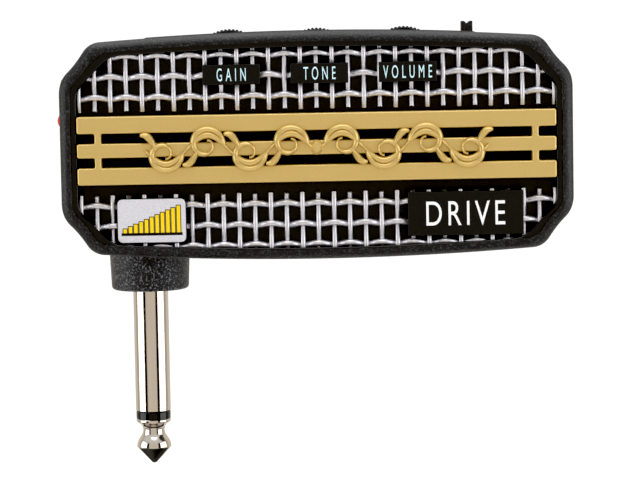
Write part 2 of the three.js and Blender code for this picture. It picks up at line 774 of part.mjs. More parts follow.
function makeBoard() {
  let board = caseSlab(boardInset, boardBack, boardFront)
    .subtract(block([leftSide, 0, 0], [boardNotch, rodTop + boardNotch / 4, frontDepth]))
    .subtract(block([switchMiddle - switchWidth / 2 - 1, switchTop, 0],
      [switchMiddle + switchWidth / 2 + 1, topEdge, frontDepth]));
  for (const [x, side] of screwSpots) {
    board = board.subtract(rod('z', bossRadius + clearance, 0, boardFront + 1, x,
      centreY + side * screwRow));
    board = board.subtract(block(
      [x - 1 - clearance, side > 0 ? centreY + screwRow : 0, 0],
      [x + 1 + clearance, side > 0 ? topEdge : centreY - screwRow, boardFront + 1]));
  }
  for (const [x, y] of boardScrewSpots) {
    board = board.subtract(rod('z', boardScrewRadius + seat, 0, boardFront + 1, x, y));
  }
  return board;
}

add('circuit_board', makeBoard(), fibreBoard());

const chipY = centreY - chipDrop;
const chipZ = boardBack - seat - chipThick / 2;
add('amplifier_chip', new THREE.BoxGeometry(amplifierChipWidth, chipHeight, chipThick),
  chipResin(), amplifierChipX, chipY, chipZ);
add('preamp_chip', new THREE.BoxGeometry(preampChipWidth, chipHeight, chipThick),
  chipResin(), preampChipX, chipY, chipZ);

capacitorSpots.forEach((x, index) => {
  const can = rod('z', capacitorRadius, 0, capacitorLength, 0, 0);
  add(`capacitor_${index + 1}`, can, foilSleeve(), x, centreY - capacitorDrop,
    boardFront + seat);
});

boardScrewSpots.forEach(([x, y], index) => {
  const screw = rod('z', boardScrewHead, 0, 1, 0, 0, 16)
    .add(rod('z', boardScrewRadius, -boardScrewLength, 0.5, 0, 0, 12));
  add(`board_screw_${index + 1}`, screw, springSteel(), x, y, boardFront + seat);
});

// ---------------------------------------------------------------- batteries

function makeCell() {
  const tube = turned([
    [0, 0],
    [cellRadius - cellEdge, 0],
    [cellRadius, cellEdge],
    [cellRadius, cellLength - buttonLength - cellEdge],
    [cellRadius - cellEdge, cellLength - buttonLength],
    [buttonRadius + buttonEase, cellLength - buttonLength],
    [buttonRadius, cellLength],
    [0, cellLength],
  ]);
  return tube.rotateZ(-Math.PI / 2).translate(-cellLength / 2, 0, 0);
}

const springGap = springLength + seat;
const cellRow = cellRadius + cellGap / 2;
// The upper cell's spring is at the left end and the lower cell's at the right end.
const upperCellX = bayStart + contactThick + seat + springGap + seat / 2 + cellLength / 2;
const lowerCellX = bayEnd - contactThick - seat - springGap - seat / 2 - cellLength / 2;
add('upper_cell', makeCell(), foilSleeve(), upperCellX, centreY + cellRow, cellZ);
add('lower_cell', makeCell(), foilSleeve(), lowerCellX, centreY - cellRow, cellZ)
  .rotation.z = Math.PI;

class Helix extends THREE.Curve {
  getPoint(t) {
    const turn = t * springTurns * 2 * Math.PI;
    const radius = springWideRadius + (springNarrowRadius - springWideRadius) * t;
    const reach = springEnd + t * (springLength - 2 * springEnd);
    return new THREE.Vector3(reach, radius * Math.cos(turn), radius * Math.sin(turn));
  }
}

// A six-sided wire along a path.
function makeWire(radius, path, steps) {
  const section = new THREE.Shape();
  for (let side = 0; side < 6; side += 1) {
    const turn = (side / 6) * 2 * Math.PI;
    const x = radius * Math.cos(turn);
    const y = radius * Math.sin(turn);
    if (side === 0) section.moveTo(x, y);
    else section.lineTo(x, y);
  }
  return new THREE.ExtrudeGeometry(section, { steps, extrudePath: path });
}

const makeSpring = () => makeWire(springWireRadius, new Helix(), 9 * springTurns);

const springSeat = contactThick + 2 * seat;
add('upper_spring', makeSpring(), springSteel(), bayStart + springSeat, centreY + cellRow, cellZ);
add('lower_spring', makeSpring(), springSteel(), bayEnd - springSeat, centreY - cellRow, cellZ)
  .rotation.z = Math.PI;

// Flat terminals at the left end, each with a tail through the bay's floor to the board.
function makeTerminal() {
  return block([seat, -contactHalf, cellZ - contactHalf],
    [seat + contactThick, contactHalf, cellZ + contactHalf])
    .add(block([seat, -tailHalf, cellZ], [seat + contactThick, tailHalf, boardBack - seat]));
}

add('negative_terminal', makeTerminal(), springSteel(), bayStart, centreY + cellRow, 0);
add('positive_terminal', makeTerminal(), springSteel(), bayStart, centreY - cellRow, 0);

const bridgeHalf = cellRow + contactHalf;
const bridge = block([-seat - contactThick, -bridgeHalf, -contactHalf],
  [-seat, bridgeHalf, contactHalf]);
add('cell_bridge', bridge, springSteel(), bayEnd, centreY, cellZ);

// ---------------------------------------------------------------- screws and wires

function makeCaseScrew() {
  return rod('z', screwHeadRadius, 0, screwHeadThick, 0, 0, 16)
    .add(rod('z', screwRadius, screwHeadThick / 2, screwLength, 0, 0, 10))
    .subtract(block([-crossHalf, -crossWidth / 2, -1], [crossHalf, crossWidth / 2, crossDepth]))
    .subtract(block([-crossWidth / 2, -crossHalf, -1], [crossWidth / 2, crossHalf, crossDepth]));
}

screwSpots.forEach(([x, side], index) => {
  add(`case_screw_${index + 1}`, makeCaseScrew(), springSteel(), x, centreY + side * screwRow,
    -rearDepth + screwSink - seat);
});

function makeLead(points) {
  const route = new THREE.CatmullRomCurve3(points.map((point) => new THREE.Vector3(...point)));
  return makeWire(wireRadius, route, 12);
}

const lugTop = collarTop + seat + lugThick;
add('tip_wire', makeLead([
  [0, rodTop + running, 0],
  [0.6, rodTop + 1.6, 0],
  [5, rodTop + 3, -0.5],
  [11, rodTop + 2, 0.3],
  [11.5, rodTop + 2, boardBack - running],
]), finish(0xb03028, 0.6));
add('sleeve_wire', makeLead([
  [7, lugTop + 2.5 * seat, 0],
  [7.6, lugTop + 2, 0],
  [10, lugTop + 2.6, 0],
  [11.5, lugTop + 2.2, 0.6],
  [11.8, lugTop + 2, boardBack - running],
]), finish(0x202022, 0.6));

export default amplifier;
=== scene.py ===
"""Looks for a plug-in pocket guitar amplifier: a cut-corner case on its own jack plug."""

import json
import math

import bmesh
import bpy
from mathutils import Matrix, Vector


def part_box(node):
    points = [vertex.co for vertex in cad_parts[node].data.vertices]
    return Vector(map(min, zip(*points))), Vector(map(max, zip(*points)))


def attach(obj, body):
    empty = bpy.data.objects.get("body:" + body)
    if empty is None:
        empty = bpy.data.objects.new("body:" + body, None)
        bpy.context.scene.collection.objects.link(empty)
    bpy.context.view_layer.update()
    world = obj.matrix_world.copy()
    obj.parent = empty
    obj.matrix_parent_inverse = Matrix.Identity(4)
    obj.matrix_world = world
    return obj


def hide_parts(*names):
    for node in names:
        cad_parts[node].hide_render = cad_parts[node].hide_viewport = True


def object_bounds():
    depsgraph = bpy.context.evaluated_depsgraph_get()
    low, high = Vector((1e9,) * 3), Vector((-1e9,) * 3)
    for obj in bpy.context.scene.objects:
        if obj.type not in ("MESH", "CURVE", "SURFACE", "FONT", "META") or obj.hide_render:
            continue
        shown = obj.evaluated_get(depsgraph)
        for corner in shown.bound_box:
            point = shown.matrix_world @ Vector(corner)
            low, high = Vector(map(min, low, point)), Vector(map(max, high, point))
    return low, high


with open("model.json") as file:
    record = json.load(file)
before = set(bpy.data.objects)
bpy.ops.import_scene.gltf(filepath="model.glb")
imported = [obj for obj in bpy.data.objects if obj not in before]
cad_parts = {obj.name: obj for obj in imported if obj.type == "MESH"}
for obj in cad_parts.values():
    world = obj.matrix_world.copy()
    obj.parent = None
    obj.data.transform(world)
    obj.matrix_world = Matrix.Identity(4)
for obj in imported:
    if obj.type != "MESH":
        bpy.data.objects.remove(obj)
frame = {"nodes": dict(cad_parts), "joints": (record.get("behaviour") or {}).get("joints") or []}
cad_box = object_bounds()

bl_info = {
    "name": "Plug-in Guitar Amplifier Looks",
    "version": (1, 0, 0),
    "blender": (4, 5, 0),
    "location": "View3D > Sidebar > Amplifier",
    "description": "Builds the visible pieces and finishes of a plug-in pocket guitar amplifier",
    "category": "Object",
}

MM = 0.001


# ------------------------------------------------------------------ places from the frame, in mm

def span(node):
    """Lowest and highest corner of a frame node, in millimetres."""
    low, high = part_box(node)
    return low / MM, high / MM


def centre_of(node):
    low, high = span(node)
    return (low + high) / 2


FRONT_LOW, FRONT_HIGH = span("front_shell")
REAR_LOW, REAR_HIGH = span("rear_shell")
CENTRE_X = (FRONT_LOW.x + FRONT_HIGH.x) / 2
CENTRE_Z = (FRONT_LOW.z + FRONT_HIGH.z) / 2
HALF_X = (FRONT_HIGH.x - FRONT_LOW.x) / 2
HALF_Z = (FRONT_HIGH.z - FRONT_LOW.z) / 2
FACE_Y = FRONT_LOW.y
BACK_Y = REAR_HIGH.y
FIT = 0.15  # clearance around pieces that fit into each other
OPEN_HALF_X = (span("upper_grille")[1].x - span("upper_grille")[0].x) / 2 + FIT
OPEN_TOP = span("upper_grille")[1].z + FIT
OPEN_BOTTOM = span("lower_grille")[0].z - FIT
OPEN_HALF_Z = (OPEN_TOP - OPEN_BOTTOM) / 2
OPEN_Z = (OPEN_TOP + OPEN_BOTTOM) / 2


# ------------------------------------------------------------------ sizes and colours to change

def length(name, description, default_mm):
    """A length property with its default in millimetres."""
    return bpy.props.FloatProperty(
        name=name, description=description, default=default_mm * MM, unit="LENGTH", precision=5)


def linear(code):
    """An sRGB hex colour as linear RGBA."""
    parts = [int(code[index:index + 2], 16) / 255 for index in (1, 3, 5)]
    parts = [p / 12.92 if p <= 0.04045 else ((p + 0.055) / 1.055) ** 2.4 for p in parts]
    return (*parts, 1.0)


def colour(name, description, code):
    """A colour property with its default as an sRGB hex value."""
    return bpy.props.FloatVectorProperty(
        name=name, description=description, default=linear(code), size=4, subtype="COLOR",
        min=0, max=1)


class AmpSizes(bpy.types.PropertyGroup):
    """Sizes of the visible pieces."""

    edge_bow: length("Edge bow", "Rise of the top and bottom edges at the middle", 1.3)
    corner_width: length("Corner width", "Width of the cut corners", 6.3)
    corner_height: length("Corner height", "Height of the cut corners", 7.8)
    corner_round: length("Corner round", "Length of the rounding at each end of a cut", 1.4)
    corner_fill: length("Corner fill", "Reach of a cut's two shoulders over a straight cut", 0.65)
    corner_waist: length("Corner waist", "Reach of a cut's middle over a straight cut", 0.15)
    edge_round: length("Edge round", "Rounding of the case's front and back edges", 1.8)
    opening_cut: length("Opening cut", "Size of the face opening's cut corners", 6.2)
    opening_bow: length("Opening bow", "Rise of the opening's top and bottom edges", 1.0)
    wire: length("Wire", "Diameter of the grille's wire", 0.84)
    wire_pitch_x: length("Upright pitch", "Spacing of the upright wires", 2.776)
    wire_pitch_z: length("Level pitch", "Spacing of the level wires", 3.62)
    bar_edge: length("Bar edge", "Rounding of the panel's edges", 0.34)
    ornament_rise: length("Ornament rise", "Height of the raised ornament", 0.9)
    legend_height: length("Legend height", "Height of the control legends", 2.35)
    voice_height: length("Voice height", "Height of the voice legend", 4.5)
    rib_depth: length("Rib depth", "Depth of the thumbwheels' ribs", 0.32)


class AmpColours(bpy.types.PropertyGroup):
    """Colours of the finishes."""

    case: colour("Case", "Black ABS of the case", "#141416")
    barrel: colour("Barrel", "Coarse black ABS of the barrel", "#121214")
    rubber: colour("Rubber", "Soft black of the wheels and the strip", "#131314")
    gold: colour("Gold", "Gold lacquer of the panel", "#d8bb78")
    wire: colour("Wire", "Tinned steel of the grille", "#f0eff5")
    nickel: colour("Nickel", "Nickel plate of the plug", "#e2dad0")
    plate: colour("Plate", "Black plates behind the grille and legends", "#0b0b0d")
    legend: colour("Legend", "Ink of the control legends", "#cdeff6")
    voice: colour("Voice", "Ink of the voice legend", "#f2f2f2")
    badge: colour("Badge", "Silver ground of the badge", "#dddce4")
    badge_mark: colour("Badge mark", "Yellow blocks on the badge", "#f2cc0c")
    lens: colour("Lens", "Red lens of the light", "#d8231c")


def mm(name):
    """A size from the sidebar, in millimetres."""
    return getattr(bpy.context.scene.amp_sizes, name) / MM


# ------------------------------------------------------------------ materials

def add_node(tree, kind, settings=None, links=None):
    """Adds a node, sets its fields, inputs and colour stops, and links (node, output) pairs."""
    made = tree.nodes.new(kind)
    for key, value in (settings or {}).items():
        if key == "stops":
            stops = made.color_ramp.elements
            first, *between, last = value
            for stop, (position, shade) in zip(stops, (first, last)):
                stop.position, stop.color = position, shade
            for position, shade in between:
                stops.new(position).color = shade
        elif isinstance(key, int) or key in made.inputs:
            made.inputs[key].default_value = value
        else:
            setattr(made, key, value)
    for key, (source, output) in (links or {}).items():
        tree.links.new(source.outputs[output], made.inputs[key])
    return made


def shade_of(value, factor):
    return (*[min(1.0, part * factor) for part in value[:3]], 1.0)


def mottled(name, settings, width, dark, light, spread=(0.3, 0.7), relief=None, gloss=None,
            clouds=None, stretch=None, texture="ShaderNodeTexNoise", **pattern_settings):
    """A material whose colour follows one pattern, as its relief and gloss do where given.

    The pattern's width, its relief and the width of the gloss's own clouds are in millimetres.
    """
    material = bpy.data.materials.new(name)
    material.use_nodes = True
    tree = material.node_tree
    tree.nodes.clear()
    place = along = (add_node(tree, "ShaderNodeTexCoord"), "Object")
    if stretch:
        pulled = add_node(tree, "ShaderNodeMapping", {"Scale": stretch}, {"Vector": place})
        along = (pulled, "Vector")
    pattern = add_node(tree, texture, {"Scale": 1 / (width * MM), **pattern_settings},
                       {"Vector": along})
    tint = add_node(tree, "ShaderNodeValToRGB",
                    {"stops": [(spread[0], dark), (spread[1], light)]},
                    {"Fac": (pattern, "Fac")})
    links = {"Base Color": (tint, "Color")}
    if gloss:
        source = pattern
        if clouds:
            source = add_node(tree, "ShaderNodeTexNoise",
                              {"Scale": 1 / (clouds * MM), "Detail": 2.0}, {"Vector": place})
        worn = add_node(tree, "ShaderNodeMapRange", {"To Min": gloss[0], "To Max": gloss[1]},
                        {"Value": (source, "Fac")})
        links["Roughness"] = (worn, "Result")
    if relief:
        raised = add_node(tree, "ShaderNodeBump", {"Strength": 1.0, "Distance": relief * MM},
                          {"Height": (pattern, "Fac")})
        links["Normal"] = (raised, "Normal")
    shader = add_node(tree, "ShaderNodeBsdfPrincipled", settings, links)
    add_node(tree, "ShaderNodeOutputMaterial", {}, {"Surface": (shader, "BSDF")})
    return material


def moulded_abs(name, base, width=0.3, relief=0.09, painted_glint=7.0, gloss=(0.36, 0.5)):
    """ABS moulded in a spark-eroded tool: an even grain whose peaks carry painted glints, bright
    specks painted into the colour for light caught by the grain, out of a darker ground.

    The grain is drawn somewhat coarser than the tool's, so that it shows.
    """
    # The bright specks, painted_glint times the base colour, are painted highlights; the darker
    # ground is the plastic's own colour.
    return mottled(name, {"IOR": 1.53}, width, shade_of(base, 0.5), shade_of(base, painted_glint),
                   (0.53, 0.74), relief, gloss, clouds=9, Detail=1.0)


def soft_rubber(name, base):
    """Thermoplastic rubber, moulded: very matt, with a faint dusty mottle."""
    settings = {"IOR": 1.5, "Roughness": 0.78, "Sheen Weight": 0.08, "Sheen Roughness": 0.4}
    return mottled(name, settings, 0.6, shade_of(base, 0.8), shade_of(base, 1.6), (0.3, 0.75),
                   0.02, Detail=3.0)


def gold_lacquer(name, base):
    """Gold metallic lacquer sprayed on moulded plastic: flat satin colour with fine flake.

    The flake is drawn coarser than the real one, which would be too fine to show.
    """
    return mottled(name, {"IOR": 1.5, "Metallic": 0.6}, 0.12, shade_of(base, 0.9),
                   shade_of(base, 1.08), relief=0.004, gloss=(0.26, 0.36), clouds=14,
                   Roughness=0.7)


def tinned_wire(name, base):
    """Drawn steel wire with dull tin plate: a soft sheen along the wire, slightly mottled."""
    return mottled(name, {"Metallic": 1.0}, 0.5, shade_of(base, 0.86), base, relief=0.003,
                   gloss=(0.36, 0.46))


def nickel_plate(name, base):
    """Nickel-plated turned brass: mirror bright and warm, with faint wear lines along it.

    The lines are drawn coarser than the real ones, which would be too fine to show.
    """
    line_spacing, along_plug = 1 / 0.9, (1, 1, 0.08)
    return mottled(name, {"Metallic": 1.0}, line_spacing, shade_of(base, 0.9), base, (0.2, 0.8),
                   0.003, (0.05, 0.17), stretch=along_plug, Detail=3.0)


def satin_plate(name, base, rough=0.38):
    """Smooth painted, printed or moulded plastic: satin to gloss with a faint orange peel."""
    return mottled(name, {"IOR": 1.5, "Roughness": rough}, 0.5, shade_of(base, 0.85),
                   shade_of(base, 1.25), relief=0.01)


def screen_ink(name, base):
    """Screen-printed ink: opaque and matt, slightly uneven in cover."""
    return mottled(name, {"IOR": 1.48, "Roughness": 0.5}, 0.25, shade_of(base, 0.86), base,
                   (0.25, 0.6), 0.004)


def silver_foil(name, base):
    """Silver foil label: soft brushed metal under clear film."""
    return mottled(name, {"Metallic": 0.35, "Roughness": 0.34, "IOR": 1.5}, 0.18,
                   shade_of(base, 0.86), shade_of(base, 1.06), relief=0.004, Detail=3.0)


def lamp_epoxy(name, base):
    """Red dyed epoxy of a light-emitting diode: clear, glossy and deep in colour."""
    settings = {"IOR": 1.55, "Roughness": 0.12, "Transmission Weight": 0.45, "Coat Weight": 0.6,
                "Coat Roughness": 0.05, "Emission Color": base, "Emission Strength": 0.25}
    return mottled(name, settings, 1.2, shade_of(base, 0.75), shade_of(base, 1.15))


def plated_steel(name, base):
    """Zinc or nickel plated sheet steel: dull metal with a cloudy plate."""
    return mottled(name, {"Metallic": 1.0}, 1.5, shade_of(base, 0.8), base, gloss=(0.22, 0.42),
                   Detail=3.0)


def solder_mask(name, base):
    """Glass-fibre board under green solder mask: glossy, with the weave just showing."""
    return mottled(name, {"IOR": 1.55, "Roughness": 0.3}, 0.5, shade_of(base, 0.85),
                   shade_of(base, 1.1), (0.0, 1.0), texture="ShaderNodeTexChecker")


def matt_paper(name):
    """Matt white paper: a clean, even ground with a faint cloud of fibre."""
    return mottled(name, {"Roughness": 0.9}, 3.0, linear("#f1f1f0"), linear("#f6f6f5"),
                   Detail=3.0)


def make_finishes():
    """Every finish, once, by name."""
    colours = bpy.context.scene.amp_colours
    grey = linear("#b9bcc1")
    return {
        "case": moulded_abs("spark_eroded_black_abs_painted_glints", colours.case),
        # The barrel's bright specks, 30 times its base colour, are painted glints of light.
        "barrel": moulded_abs("coarse_grained_black_abs_painted_glints", colours.barrel, 0.32, 0.2, 30.0,
                              (0.28, 0.4)),
        "rubber": soft_rubber("moulded_black_rubber", colours.rubber),
        "gold": gold_lacquer("sprayed_gold_lacquer", colours.gold),
        "wire": tinned_wire("drawn_tinned_wire", colours.wire),
        "nickel": nickel_plate("nickel_plated_brass", colours.nickel),
        "plate": satin_plate("black_satin_plate", colours.plate),
        "film": satin_plate("black_gloss_film", shade_of(colours.plate, 0.9), 0.16),
        "ring": satin_plate("polished_black_acetal", shade_of(colours.plate, 0.9), 0.1),
        "legend": screen_ink("pale_blue_ink", colours.legend),
        "voice": screen_ink("white_ink", colours.voice),
        "badge": silver_foil("silver_label_foil", colours.badge),
        "badge_mark": screen_ink("yellow_ink", colours.badge_mark),
        "lens": lamp_epoxy("red_dyed_epoxy", colours.lens),
        "steel": plated_steel("plated_spring_steel", grey),
        "board": solder_mask("green_solder_mask", linear("#1f5a34")),
        "resin": satin_plate("black_moulded_resin", linear("#151517"), 0.55),
        "pot": satin_plate("blue_grey_moulded_resin", linear("#3a4048"), 0.5),
        "sleeve": satin_plate("blue_shrink_sleeve", linear("#27588c"), 0.25),
        "cell_gold": satin_plate("copper_shrink_sleeve", linear("#b9793a"), 0.25),
        "wire_red": satin_plate("red_wire_sleeve", linear("#9c231c"), 0.4),
        "wire_black": satin_plate("black_wire_sleeve", linear("#1a1a1c"), 0.4),
    }


FINISH = {}


def finish(name):
    if not FINISH:
        FINISH.update(make_finishes())
    return FINISH[name]


# ------------------------------------------------------------------ mesh helpers, in mm

SHARP_ANGLE = 32  # degrees
WELD_WITHIN = 0.002


def steps(start, end, count):
    return [start + (end - start) * index / count for index in range(count + 1)]


def quarter_turns(count):
    """Angles from nothing to a quarter turn, in even steps."""
    return [math.pi / 2 * index / count for index in range(count + 1)]


def add_object(name, data):
    made = bpy.data.objects.new(name, data)
    bpy.context.scene.collection.objects.link(made)
    return made


def make_piece(name, points, faces):
    """A mesh object from points in millimetres."""
    mesh = bpy.data.meshes.new(name)
    mesh.from_pydata([Vector(point) * MM for point in points], [], faces)
    mesh.validate()
    mesh.update()
    return add_object(name, mesh)


def evaluate(piece):
    """Applies a piece's modifiers to its mesh."""
    depsgraph = bpy.context.evaluated_depsgraph_get()
    mesh = bpy.data.meshes.new_from_object(piece.evaluated_get(depsgraph))
    piece.modifiers.clear()
    old = piece.data
    piece.data = mesh
    mesh.name = piece.name
    if old.users == 0:
        bpy.data.meshes.remove(old)
    return piece


def carve(piece, cutter, operation="DIFFERENCE"):
    """Cuts, joins or keeps the common part of a piece and a second one, which is used up."""
    modifier = piece.modifiers.new("carve", "BOOLEAN")
    modifier.operation = operation
    modifier.solver = "EXACT"
    modifier.object = cutter
    evaluate(piece)
    bpy.data.objects.remove(cutter)
    if not piece.data.polygons:
        raise RuntimeError(f"nothing is left of {piece.name}")
    return piece


def soften(piece, width, angle=35, segments=3):
    """Rounds a piece's sharp edges by a width in millimetres."""
    modifier = piece.modifiers.new("soften", "BEVEL")
    modifier.width = width * MM
    modifier.segments = segments
    modifier.limit_method = "ANGLE"
    modifier.angle_limit = math.radians(angle)
    return evaluate(piece)


def smooth(piece):
    """Smooth shading, with sharper edges kept."""
    mesh = piece.data
    mesh.polygons.foreach_set("use_smooth", [True] * len(mesh.polygons))
    mesh.set_sharp_from_angle(angle=math.radians(SHARP_ANGLE))


def give_finish(piece, name):
    piece.data.materials.clear()
    piece.data.materials.append(finish(name))


def settle(piece, body, slot, *nodes, material):
    """Gives a piece its finish and smooth shading, hangs it on its body and hides the frame nodes
    that it stands for.
    """
    give_finish(piece, material)
    smooth(piece)
    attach(piece, body)
    if nodes:
        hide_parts(*nodes)
    return piece


def block(name, low, high):
    """A box between two corners."""
    corners = [(x, y, z) for x in (low[0], high[0]) for y in (low[1], high[1])
               for z in (low[2], high[2])]
    faces = [(0, 1, 3, 2), (4, 6, 7, 5), (0, 4, 5, 1), (2, 3, 7, 6), (0, 2, 6, 4), (1, 5, 7, 3)]
    return make_piece(name, corners, faces)


def lathe(name, profile, axis="z", centre=(0, 0, 0), sides=96):
    """A piece turned about an axis from (radius, height) points; ends on the axis are closed."""
    points, rows = [], []
    for radius, height in profile:
        row = []
        count = sides if radius > 1e-6 else 1
        for index in range(count):
            turn = 2 * math.pi * index / sides
            flat = (radius * math.cos(turn), radius * math.sin(turn))
            spot = {"x": (height, flat[0], flat[1]), "y": (flat[1], height, flat[0]),
                    "z": (flat[0], flat[1], height)}[axis]
            row.append(len(points))
            points.append(Vector(spot) + Vector(centre))
        rows.append(row)
    faces = []
    for first, second in zip(rows, rows[1:]):
        for index in range(sides):
            after = (index + 1) % sides
            quad = [first[index % len(first)], first[after % len(first)],
                    second[after % len(second)], second[index % len(second)]]
            quad = list(dict.fromkeys(quad))
            if len(quad) > 2:
                faces.append(quad)
    return make_piece(name, points, faces)


def rod(name, axis, radius, start, end, centre):
    """A plain round bar along an axis."""
    return lathe(name, [(0, start), (radius, start), (radius, end), (0, end)], axis, centre, 64)


def loft(name, rings, closed=False):
    """A skin through rings of equally many points, capped at its ends or closed on itself."""
    count = len(rings[0])
    points = [point for ring in rings for point in ring]
    pairs = [(row, row + 1) for row in range(len(rings) - 1)]
    if closed:
        pairs.append((len(rings) - 1, 0))
    faces = []
    for low, high in pairs:
        for index in range(count):
            after = (index + 1) % count
            faces.append((low * count + index, low * count + after,
                          high * count + after, high * count + index))
    if not closed:
        faces.append(tuple(reversed(range(count))))
        faces.append(tuple((len(rings) - 1) * count + index for index in range(count)))
    return face_out(make_piece(name, points, faces))


def face_out(piece, weld_within=None):
    """Turns a piece's faces outwards, once points nearer than a distance are one."""
    shape = bmesh.new()
    shape.from_mesh(piece.data)
    if weld_within:
        bmesh.ops.remove_doubles(shape, verts=shape.verts, dist=weld_within * MM)
    bmesh.ops.recalc_face_normals(shape, faces=shape.faces)
    shape.to_mesh(piece.data)
    shape.free()
    return piece


def weld(piece):
    """Makes one of points that fall together, and turns the faces outwards."""
    return face_out(piece, WELD_WITHIN)


def join(name, pieces):
    """One piece from several that don't cross."""
    shape = bmesh.new()
    for piece in pieces:
        shape.from_mesh(piece.data)
        bpy.data.objects.remove(piece)
    mesh = bpy.data.meshes.new(name)
    shape.to_mesh(mesh)
    shape.free()
    return add_object(name, mesh)


# ------------------------------------------------------------------ outlines, in mm

def bezier(start, middle, end, count):
    """Points of a quadratic curve, without its last one."""
    result = []
    for index in range(count):
        t = index / count
        result.append((
            (1 - t) ** 2 * start[0] + 2 * t * (1 - t) * middle[0] + t * t * end[0],
            (1 - t) ** 2 * start[1] + 2 * t * (1 - t) * middle[1] + t * t * end[1]))
    return result


def outline(half_x, half_z, cut_x, cut_z, bow, fill):
    """An outline about its centre, anticlockwise as seen from the front.

    Each corner cut is a smooth curve with two shoulders and a waist between them.
    """
    round_by = mm("corner_round")
    edge_x, edge_z = half_x - cut_x, half_z - bow
    side_z = edge_z - cut_z
    cut = math.hypot(cut_x, cut_z)
    out = Vector((cut_z, cut_x)).normalized() * mm("corner_waist")
    side_shoulder = Vector((half_x, side_z + fill * cut / cut_x))
    waist = Vector((half_x - cut_x / 2, edge_z - cut_z / 2)) + out
    edge_shoulder = Vector((edge_x + fill * cut / cut_z, edge_z))
    edge = (edge_x - round_by, edge_z)
    start = (half_x, side_z - round_by)
    points = bezier((half_x, 0), (half_x, start[1] / 2), start, 6)
    for middle, end in ((side_shoulder, (side_shoulder + waist) / 2),
                        (waist, (waist + edge_shoulder) / 2), (edge_shoulder, edge)):
        points += bezier(start, middle, end, 10)
        start = end
    top = bezier(edge, (0, half_z + bow), (-edge[0], edge_z), 48)
    left = [(-x, z) for x, z in reversed(points)]
    upper = points + top + [(-edge[0], edge_z)] + left[:-1]
    return upper + [(-half_x, 0)] + [(x, -z) for x, z in reversed(upper[1:])]


def case_ring(inset, y):
    """The case's outline moved in by an inset, at a depth."""
    flat = outline(HALF_X - inset, HALF_Z - inset, mm("corner_width") - inset / 3,
                   mm("corner_height") - inset / 3, mm("edge_bow"), mm("corner_fill"))
    return [(CENTRE_X + x, y, CENTRE_Z + z) for x, z in flat]


def opening_ring(inset, y):
    """The face opening's outline moved in by an inset, at a depth."""
    flat = outline(OPEN_HALF_X - inset, OPEN_HALF_Z - inset, mm("opening_cut"), mm("opening_cut"),
                   mm("opening_bow"), 0)
    return [(CENTRE_X + x, y, OPEN_Z + z) for x, z in flat]


def rounding(flat_at, towards):
    """(inset, depth) pairs of the case's rounded edge, which ends in a flat face."""
    radius = mm("edge_round")
    return [(radius * (1 - math.cos(turn)), flat_at - towards * radius * (1 - math.sin(turn)))
            for turn in quarter_turns(7)]


def top_of_case(x):
    """Height of the case's top edge at x."""
    reach = HALF_X - mm("corner_width") - mm("corner_round")
    return CENTRE_Z + HALF_Z - mm("edge_bow") * min(1, abs((x - CENTRE_X) / reach)) ** 2


# ------------------------------------------------------------------ case

WALL = 2.0
SEAM = 0.18  # small chamfer where the two shells meet
LEDGE = 1.0  # width of the smooth ledge round the face opening
BEZEL_THICK = 1.2
SLOT_GAP = 0.3  # room round a wheel or the lever in its slot
BEYOND = 3  # how far a cut through the top edge starts above it
BARREL_HOLE = 6.15
SOCKET_HOLE = 2.55
LIGHT_HOLE = 1.65
LIGHT_DEPTH = 3.6  # light's axis from the back of its foot
SCREW_HEAD = 1.2  # depth of a case screw's head
CASE_SCREWS = [f"case_screw_{index}" for index in (1, 2, 3, 4)]
WHEELS = ("gain_wheel", "tone_wheel", "volume_wheel")
SOCKETS = ("headphone_jack", "aux_jack")


def side_hole(shell, radius, y, z):
    """Drills a hole through the case's left wall."""
    return carve(shell, rod("cut", "x", radius, FRONT_LOW.x - 1, FRONT_LOW.x + 4, (0, y, z)))


def barrel_cuts(shell):
    """Seat and hole for the barrel, and holes for the two sockets."""
    low, high = span("jack_barrel")
    seat = FRONT_LOW.z + 1.75
    carve(shell, rod("cut", "z", high.x + FIT, low.z - 1, seat, (0, 0, 0)))
    carve(shell, rod("cut", "z", BARREL_HOLE, seat - 1, high.z, (0, 0, 0)))
    for socket in SOCKETS:
        middle = centre_of(socket)
        side_hole(shell, SOCKET_HOLE, middle.y, middle.z)


def control_cuts(shell):
    """Slots for the three wheels and the lever, through the top edge."""
    floor, top = FRONT_HIGH.z - WALL - 2.5, FRONT_HIGH.z + BEYOND
    for wheel in WHEELS:
        low, high = span(wheel)
        middle = (low.x + high.x) / 2
        radius = (high.x - low.x) / 2
        axis_z = (low.z + high.z) / 2
        half = math.sqrt(radius ** 2 - (FRONT_HIGH.z - WALL - 1.3 - axis_z) ** 2) + SLOT_GAP
        carve(shell, block("cut", (middle - half, low.y - SLOT_GAP, floor),
                           (middle + half, high.y + SLOT_GAP, top)))
    low, high = span("power_lever")
    slide = next(joint for joint in frame["joints"] if joint["name"] == "power_slide")
    travel = -slide["range_m"][0] / MM
    carve(shell, block("cut", (low.x - travel - SLOT_GAP, low.y - SLOT_GAP, floor),
                       (high.x + SLOT_GAP, high.y + SLOT_GAP, top)))


